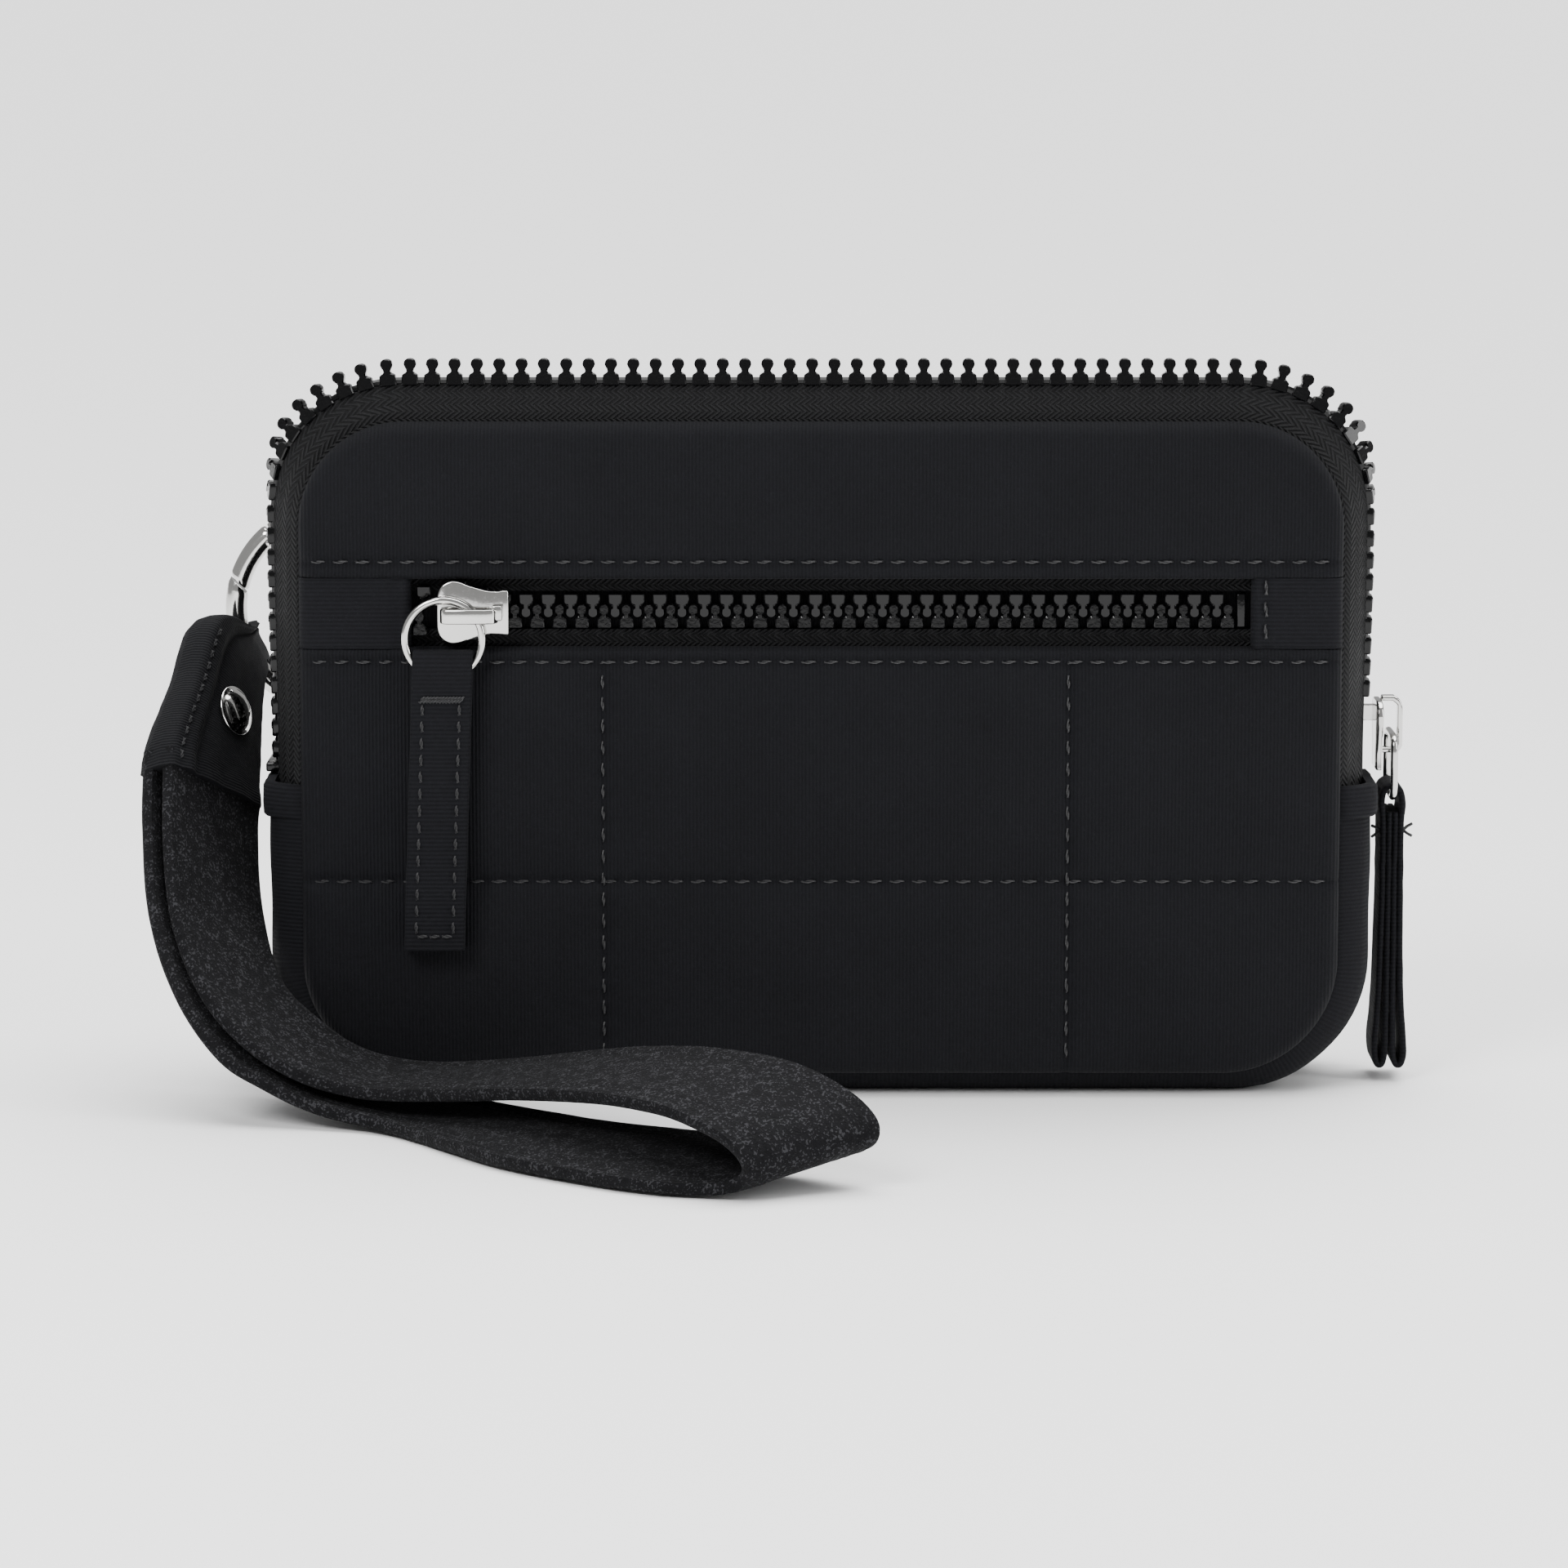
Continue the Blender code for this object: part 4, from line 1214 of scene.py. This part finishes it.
gap = math.degrees(0.25 / GATE_RADIUS)
metal(ring_wire(CUT + gap, 360 + HINGE, 150, CUT + gap), "gate_ring", "gate_ring", "gate_ring_frame", 35)
metal(ring_wire(HINGE + 1.8, CUT - gap, 24, CUT - gap), "gate_ring_arm", "gate", "gate_ring_gate", 35)
low, high = span("gate_pin")
pin = plate([((low.x + high.x) / 2 + 0.45 * c, (low.z + high.z) / 2 + 0.45 * s) for c, s in circle(16)],
            low.y - 0.1, high.y + 0.1, "XZ", 0.12, 2)
metal(pin, "gate_hinge_pin", "gate_ring", "gate_pin", 40)

# %% [markdown]
# ## Folded pull tabs
# A pull is one strip of cloth, folded over its ring and sewn. The pocket's is seen flat,
# with a long stitched box. The main one is seen from its edge: its ends are turned up
# inside, so it shows four layers that part a little at the bottom.

# %% Strips of cloth
def strip(path, across, half_width, flare=0.0):
    """A ribbon along stations (x, y, z, half thickness); across is the way its width runs."""
    across = Vector(across)
    rim = ((-1, 0, 0.35), (-1, 0.18, 0.8), (-1, 0.5, 1), (-0.5, 0, 1), (0, 0, 1), (0.5, 0, 1),
           (1, -0.5, 1), (1, -0.18, 0.8), (1, 0, 0.35))
    loop = [(u, du, h) for u, du, h in rim] + [(u, du, -h) for u, du, h in reversed(rim)]
    sections = []
    for i, station in enumerate(path):
        spot = station.to_3d()
        along = heading(path, i).to_3d()
        face = along.cross(across).normalized()
        wide = half_width * (1 + flare * ease((14 - spot.z) / 14))
        uneven = 0.1 * noise.noise(spot / 3.0)
        sections.append([spot + across * (u * wide + du) + face * (station.w * h + uneven)
                         for u, du, h in loop])
    return skin(sections)


def stations(points, steps):
    return curve_through([Vector(p) for p in points], steps)


print("strips are ready")

# %% [markdown]
# ## Pocket pull
# The strip runs up one side, over the ring and down the other.

# %% Pocket pull
low, high = span("pocket_pull_tab")
TAB_X, TAB_HALF, TAB_Y = (low.x + high.x) / 2, (high.x - low.x) / 2, (low.y + high.y) / 2


def lean(z):
    """The pull hangs a little towards the left."""
    return TAB_X - 0.037 * (75.0 - z)


path = [(lean(z), TAB_Y - y, z, h) for y, z, h in (
    (0.85, low.z, 0.72), (0.88, 30, 0.8), (0.88, 50, 0.8), (0.88, 66, 0.8), (0.95, 70, 0.68), (1.32, 73, 0.5),
    (1.3, 75.6, 0.5), (0.8, 77.3, 0.5), (0.0, 77.8, 0.5))]
back = [(x, 2 * TAB_Y - y, z, h) for x, y, z, h in reversed(path[:-1])]
pull = strip(stations(path + back, 7), (1, 0, 0), TAB_HALF)
fold = ("pocket_ring", "pocket_tab", (0, TAB_Y * MM, 0.0775), (0, TAB_Y * MM, 0.0705))
sewn(pull, "pocket_pull", tab_cloth, fold, "pocket_pull_tab")


def tab_row(name, start, end, **wanted):
    y = TAB_Y - 1.72
    ends = [Vector((lean(z) + x, y, z)) for x, z in (start, end)]
    stitch_row(name, ends, FRONTWARDS, "pocket_tab", **wanted)


for label, x in (("left", -3.15), ("right", 3.15)):
    tab_row(f"pull_stitches_{label}", (x, 29.0), (x, 69.9), spacing=2.9, length=2.1)
tab_row("pull_stitches_low", (-3.15, 29.0), (3.15, 29.0), spacing=2.1, length=1.8)
tab_row("pull_stitches_top", (-3.5, 69.9), (3.5, 69.9), spacing=0.55, length=1.6, skew=1.2)

# %% [markdown]
# ## Main pull
# Seen from its edge this strip shows its folds, so half of the path is typed and the
# other half is its mirror image. Two cut thread ends stand out at each side.

# %% Main pull
low, high = span("main_pull_tab")
PULL_X = (low.x + high.x) / 2
half_path = [(-0.5, 47.4, 0.46), (-0.52, 40, 0.48), (-0.55, 20, 0.48), (-0.62, 7, 0.5),
             (-0.95, 3.4, 0.48), (-1.6, 2.55, 0.46), (-2.3, 3.3, 0.5), (-2.55, 6.5, 0.5),
             (-1.95, 15, 0.5), (-1.62, 30, 0.5), (-1.55, 44, 0.5), (-1.8, 48.6, 0.5),
             (-1.5, 50.9, 0.5), (-0.75, 51.8, 0.48)]
path = [(PULL_X + x, 0, z, h) for x, z, h in half_path]
path += [(PULL_X, 0, 52.0, 0.45)] + [(2 * PULL_X - x, y, z, h) for x, y, z, h in reversed(path)]
main_pull = strip(stations(path, 6), (0, 1, 0), (high.y - low.y) / 2, flare=0.12)
sewn(main_pull, "main_pull", tab_cloth, "main_tab", "main_pull_tab")
ends = []
for side, lift in ((-1, 0.5), (-1, -0.6), (1, 0.7), (1, -0.5)):
    x = PULL_X + side * 2.0
    ends.append(tube_along([Vector((x, -3.2, 44)), Vector((x + side * 0.7, -3.4, 44 + lift)),
                            Vector((x + side * 1.5, -3.9, 44 + lift * 1.8))], 0.28, 6))
sewn(join(ends), "thread_ends", thread, "main_tab", None)

# %% [markdown]
# ## Wrist strap
# A cloth loop on the back carries the gate ring. A second piece of cloth is folded round
# the ring and over both ends of a thick felted webbing, and a rivet goes through it all.
# The webbing runs down, out along the floor, folds over near the front and comes back.

# %% Side loop
side_path = [(20.55, 109.8, 0.6), (20.5, 104, 0.6), (20.75, 99.8, 0.52), (20.97, 96.4, 0.5),
             (21.75, 94.1, 0.5), (24, 93.25, 0.5), (26.25, 94.1, 0.5), (27.05, 96.4, 0.5),
             (26.2, 99.6, 0.52), (23.4, 103.2, 0.6), (21.85, 106, 0.6), (21.75, 109.8, 0.6)]
side_strip = strip(stations([(GATE_CENTRE.x, y, z, h) for y, z, h in side_path], 6), (1, 0, 0), 4.0)
sewn(side_strip, "ring_loop", tab_cloth, "root", "side_loop")
for z in (106.5, 108.3):
    stitch_row(f"loop_stitches_{round(z)}", [Vector((-90, 22.6, z)), Vector((-83, 22.6, z))],
               Vector((0, 1, 0)), "root", spacing=2.2, length=1.8)

# %% [markdown]
# ## Webbing
# The route of both edges is typed in pairs, in millimetres, so the strip can twist and
# cone as it folds. A simulation would settle it, but not to this one exact lie.

# %% Webbing
WEBBING = [
    ((-115.8, -13.3, 59.6), (-102.1, 5.2, 47.2)), ((-115.6, -20.3, 46.3), (-102.2, 0.8, 41.8)),
    ((-113.6, -28.5, 32.0), (-100.7, -7.2, 29.8)), ((-108.3, -36.5, 20.0), (-96.4, -18.2, 17.6)),
    ((-101.3, -41.5, 11.6), (-89.6, -22.6, 10.9)), ((-94.0, -44.0, 7.3), (-83.4, -22.9, 7.1)),
    ((-85.0, -45.8, 3.6), (-76.5, -22.9, 3.0)), ((-72.0, -51.5, 1.4), (-66.0, -27.5, 2.0)),
    ((-55.0, -74.0, 1.4), (-50.0, -50.0, 4.0)), ((-41.0, -86.5, 1.4), (-36.0, -62.5, 4.4)),
    ((-28.6, -94.5, 1.4), (-20.0, -71.5, 4.6)), ((-20.0, -97.0, 1.4), (-3.0, -80.0, 4.8)),
    ((-14.5, -98.5, 2.4), (6.5, -88.0, 7.0)), ((-12.8, -99.6, 5.0), (8.8, -90.0, 10.6)),
    ((-14.2, -99.8, 8.2), (4.6, -86.6, 14.6)), ((-18.0, -97.5, 10.8), (-5.0, -79.0, 17.9)),
    ((-25.5, -90.0, 12.6), (-17.0, -67.5, 17.6)), ((-36.0, -79.0, 12.3), (-29.5, -55.2, 15.4)),
    ((-49.5, -66.0, 10.2), (-45.0, -42.0, 11.2)), ((-64.5, -53.5, 7.4), (-59.4, -29.5, 7.4)),
    ((-78.0, -45.8, 6.3), (-71.0, -22.9, 6.4)), ((-88.6, -44.4, 9.2), (-79.8, -22.9, 9.0)),
    ((-97.6, -41.6, 14.4), (-86.6, -22.7, 13.8)), ((-104.9, -36.6, 22.0), (-93.2, -18.6, 19.8)),
    ((-110.1, -28.8, 33.0), (-97.5, -8.2, 30.8)), ((-112.0, -21.2, 47.0), (-98.8, -0.4, 42.6)),
    ((-112.4, -14.6, 60.4), (-98.7, 3.9, 48.0)),
]


WEBBING_HALF, RIBBED_EDGE = 1.15, 5.2


def make_webbing():
    """Thick webbing with four ribs along each edge."""
    near = curve_through([Vector(a) for a, _ in WEBBING], 7)
    far = curve_through([Vector(b) for _, b in WEBBING], 7)
    columns = [0.0, 0.004, 0.012] + [0.02 + 0.96 * k / 50 for k in range(51)] + [0.988, 0.996, 1.0]
    sections, length = [], 0.0
    for i in range(len(near)):
        before, after = max(i - 1, 0), min(i + 1, len(near) - 1)
        along = near[after] + far[after] - near[before] - far[before]
        across = far[i] - near[i]
        face = along.cross(across).normalized()
        length += 0.0 if i == 0 else (near[i] + far[i] - near[i - 1] - far[i - 1]).length / 2
        upper, lower = [], []
        for t in columns:
            from_edge = min(t, 1 - t) * across.length
            half = WEBBING_HALF
            if from_edge < 0.5:
                half *= min(1.0, 0.35 + from_edge / 0.5)
            if from_edge < RIBBED_EDGE:
                half += 0.13 * math.cos(math.tau * from_edge / 1.25) - 0.04
            spot = near[i] + across * t
            wave = 0.12 * noise.noise(spot / 7.0)
            upper.append(spot + face * (half + wave))
            lower.append(spot - face * (half - wave))
        sections.append(upper + lower[::-1])
    strap = skin(sections)
    finish_piece(strap, "wrist_webbing", webbing_felt, "strap", "strap_webbing")
    print("webbing:", round(length), "mm long")


make_webbing()

# %% [markdown]
# ## Strap tab
# Cloth wraps the ring and the webbing's ends. It is a loft through stations, each with
# its own turn, width and thickness, and a boolean clears the room that the ring needs.

# %% Strap tab
STRAP_TAB = [
    ((-102.9, 27.8, 73.5), (0.34, 0.00, -0.94), 2.6, 7.0, 3.3),
    ((-103.1, 20.6, 73.2), (0.34, 0.00, -0.94), 2.9, 7.2, 3.4),
    ((-104.2, 13.6, 70.2), (0.42, 0.30, -0.85), 10.6, 8.4, 3.5),
    ((-105.8, 5.2, 62.8), (0.50, 0.52, -0.69), 11.0, 10.7, 3.5),
    ((-107.3, -2.7, 55.5), (0.53, 0.71, -0.47), 13.0, 12.9, 3.9),
    ((-107.4, -6.1, 51.4), (0.54, 0.73, -0.42), 13.5, 13.4, 4.1),
]
RIVET_AT = Vector((-105.8, 5.2, 62.8))


def tab_stations(steps):
    """Middle, direction across, face direction, reach to either side, and half thickness."""
    middles = curve_through([Vector(s[0]) for s in STRAP_TAB], steps)
    acrosses = curve_through([Vector(s[1]) for s in STRAP_TAB], steps)
    sizes = curve_through([Vector(s[2:]) for s in STRAP_TAB], steps)
    result = []
    for i, (middle, across, size) in enumerate(zip(middles, acrosses, sizes)):
        across = across.normalized()
        result.append((middle, across, heading(middles, i).cross(across).normalized(), *size))
    return result


def tab_surface(station, t, side=1):
    """A point of the tab's front or back face; t runs from -1 to 1 across it."""
    middle, across, face, minus, plus, half = station
    reach = minus if t < 0 else plus
    rim = max(0.0, (abs(t) - 0.86) / 0.14)
    lift = half * math.sqrt(max(0.0, 1 - 0.9 * rim * rim))
    spot = middle + across * (t * reach)
    ridge = 0.55 * noise.noise(Vector((t * 2.2, spot.y / 26, 1.3 * side)))
    fold = 0.5 * math.exp(-((t + 0.62) / 0.1) ** 2) - 0.35 * math.exp(-((t + 0.44) / 0.07) ** 2)
    lift += ridge * (1 - rim) + fold * (1 - rim) + 0.14 * noise.noise(spot / 2.3)
    return spot + face * side * lift


def make_strap_tab():
    sections = []
    for station in tab_stations(9):
        front = [tab_surface(station, -1 + 2 * k / 40) for k in range(41)]
        back = [tab_surface(station, 1 - 2 * k / 20, -1) for k in range(21)]
        sections.append(front + back)
    tab = skin(sections)
    wire = tube_along([around_ring(162 + 80 * k / 40) for k in range(41)], GATE_WIRE + 0.35, 24)
    hollow = tab.modifiers.new("ring_space", "BOOLEAN")
    hollow.object, hollow.solver = wire, "EXACT"
    only(tab)
    bpy.ops.object.modifier_apply(modifier=hollow.name)
    bpy.data.objects.remove(wire)
    fold = ("gate_ring", "strap", (-0.103, 0.0235, 0.0735), (-0.1045, 0.0125, 0.0695))
    sewn(tab, "strap_wrap", wrap_cloth, fold, "strap_tab", 50)
    places = tab_stations(9)
    line = [tab_surface(s, -0.8) + s[2] * 0.05 for s in places[19:]]
    stitch_row("wrap_stitches", line, places[20][2], "strap", spacing=2.6, length=1.8)


make_strap_tab()

# %% [markdown]
# ## Rivet
# The cap is turned, as on a lathe: half of its profile is swept round the axis that
# stands square on the tab's face.

# %% Rivet
def make_rivet():
    """A domed cap with a rolled rim."""
    face = tab_stations(1)[3][2]
    seat = RIVET_AT + face * 4.0
    profile = [(0.001, 2.05), (1.0, 2.0), (2.0, 1.85), (3.0, 1.5), (3.7, 1.0), (4.05, 0.62),
               (4.3, 0.6), (4.45, 0.4), (4.4, 0.12), (4.1, 0.0), (0.001, 0.0)]
    turn = face.to_track_quat("Z", "Y").to_matrix()
    sections = [[seat + turn @ Vector((r * c, r * s, h)) for c, s in circle(40)] for r, h in profile]
    metal(skin(sections), "rivet_dome", "strap", "rivet_cap", 50)


make_rivet()

# %% [markdown]
# ## Linings
# The linings, the pocket's bag and the rivet's post are plain enough to be used as they
# are packed; they only get their finish.

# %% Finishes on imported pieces
for node, finish in (("front_lining", lining_cloth), ("back_lining", lining_cloth),
                     ("pocket_bag", lining_cloth), ("rivet_post", nickel)):
    packed = bpy.data.objects[node]
    for place in packed.material_slots:
        place.material = finish
    print(node, "keeps its packed shape, in", finish.name)
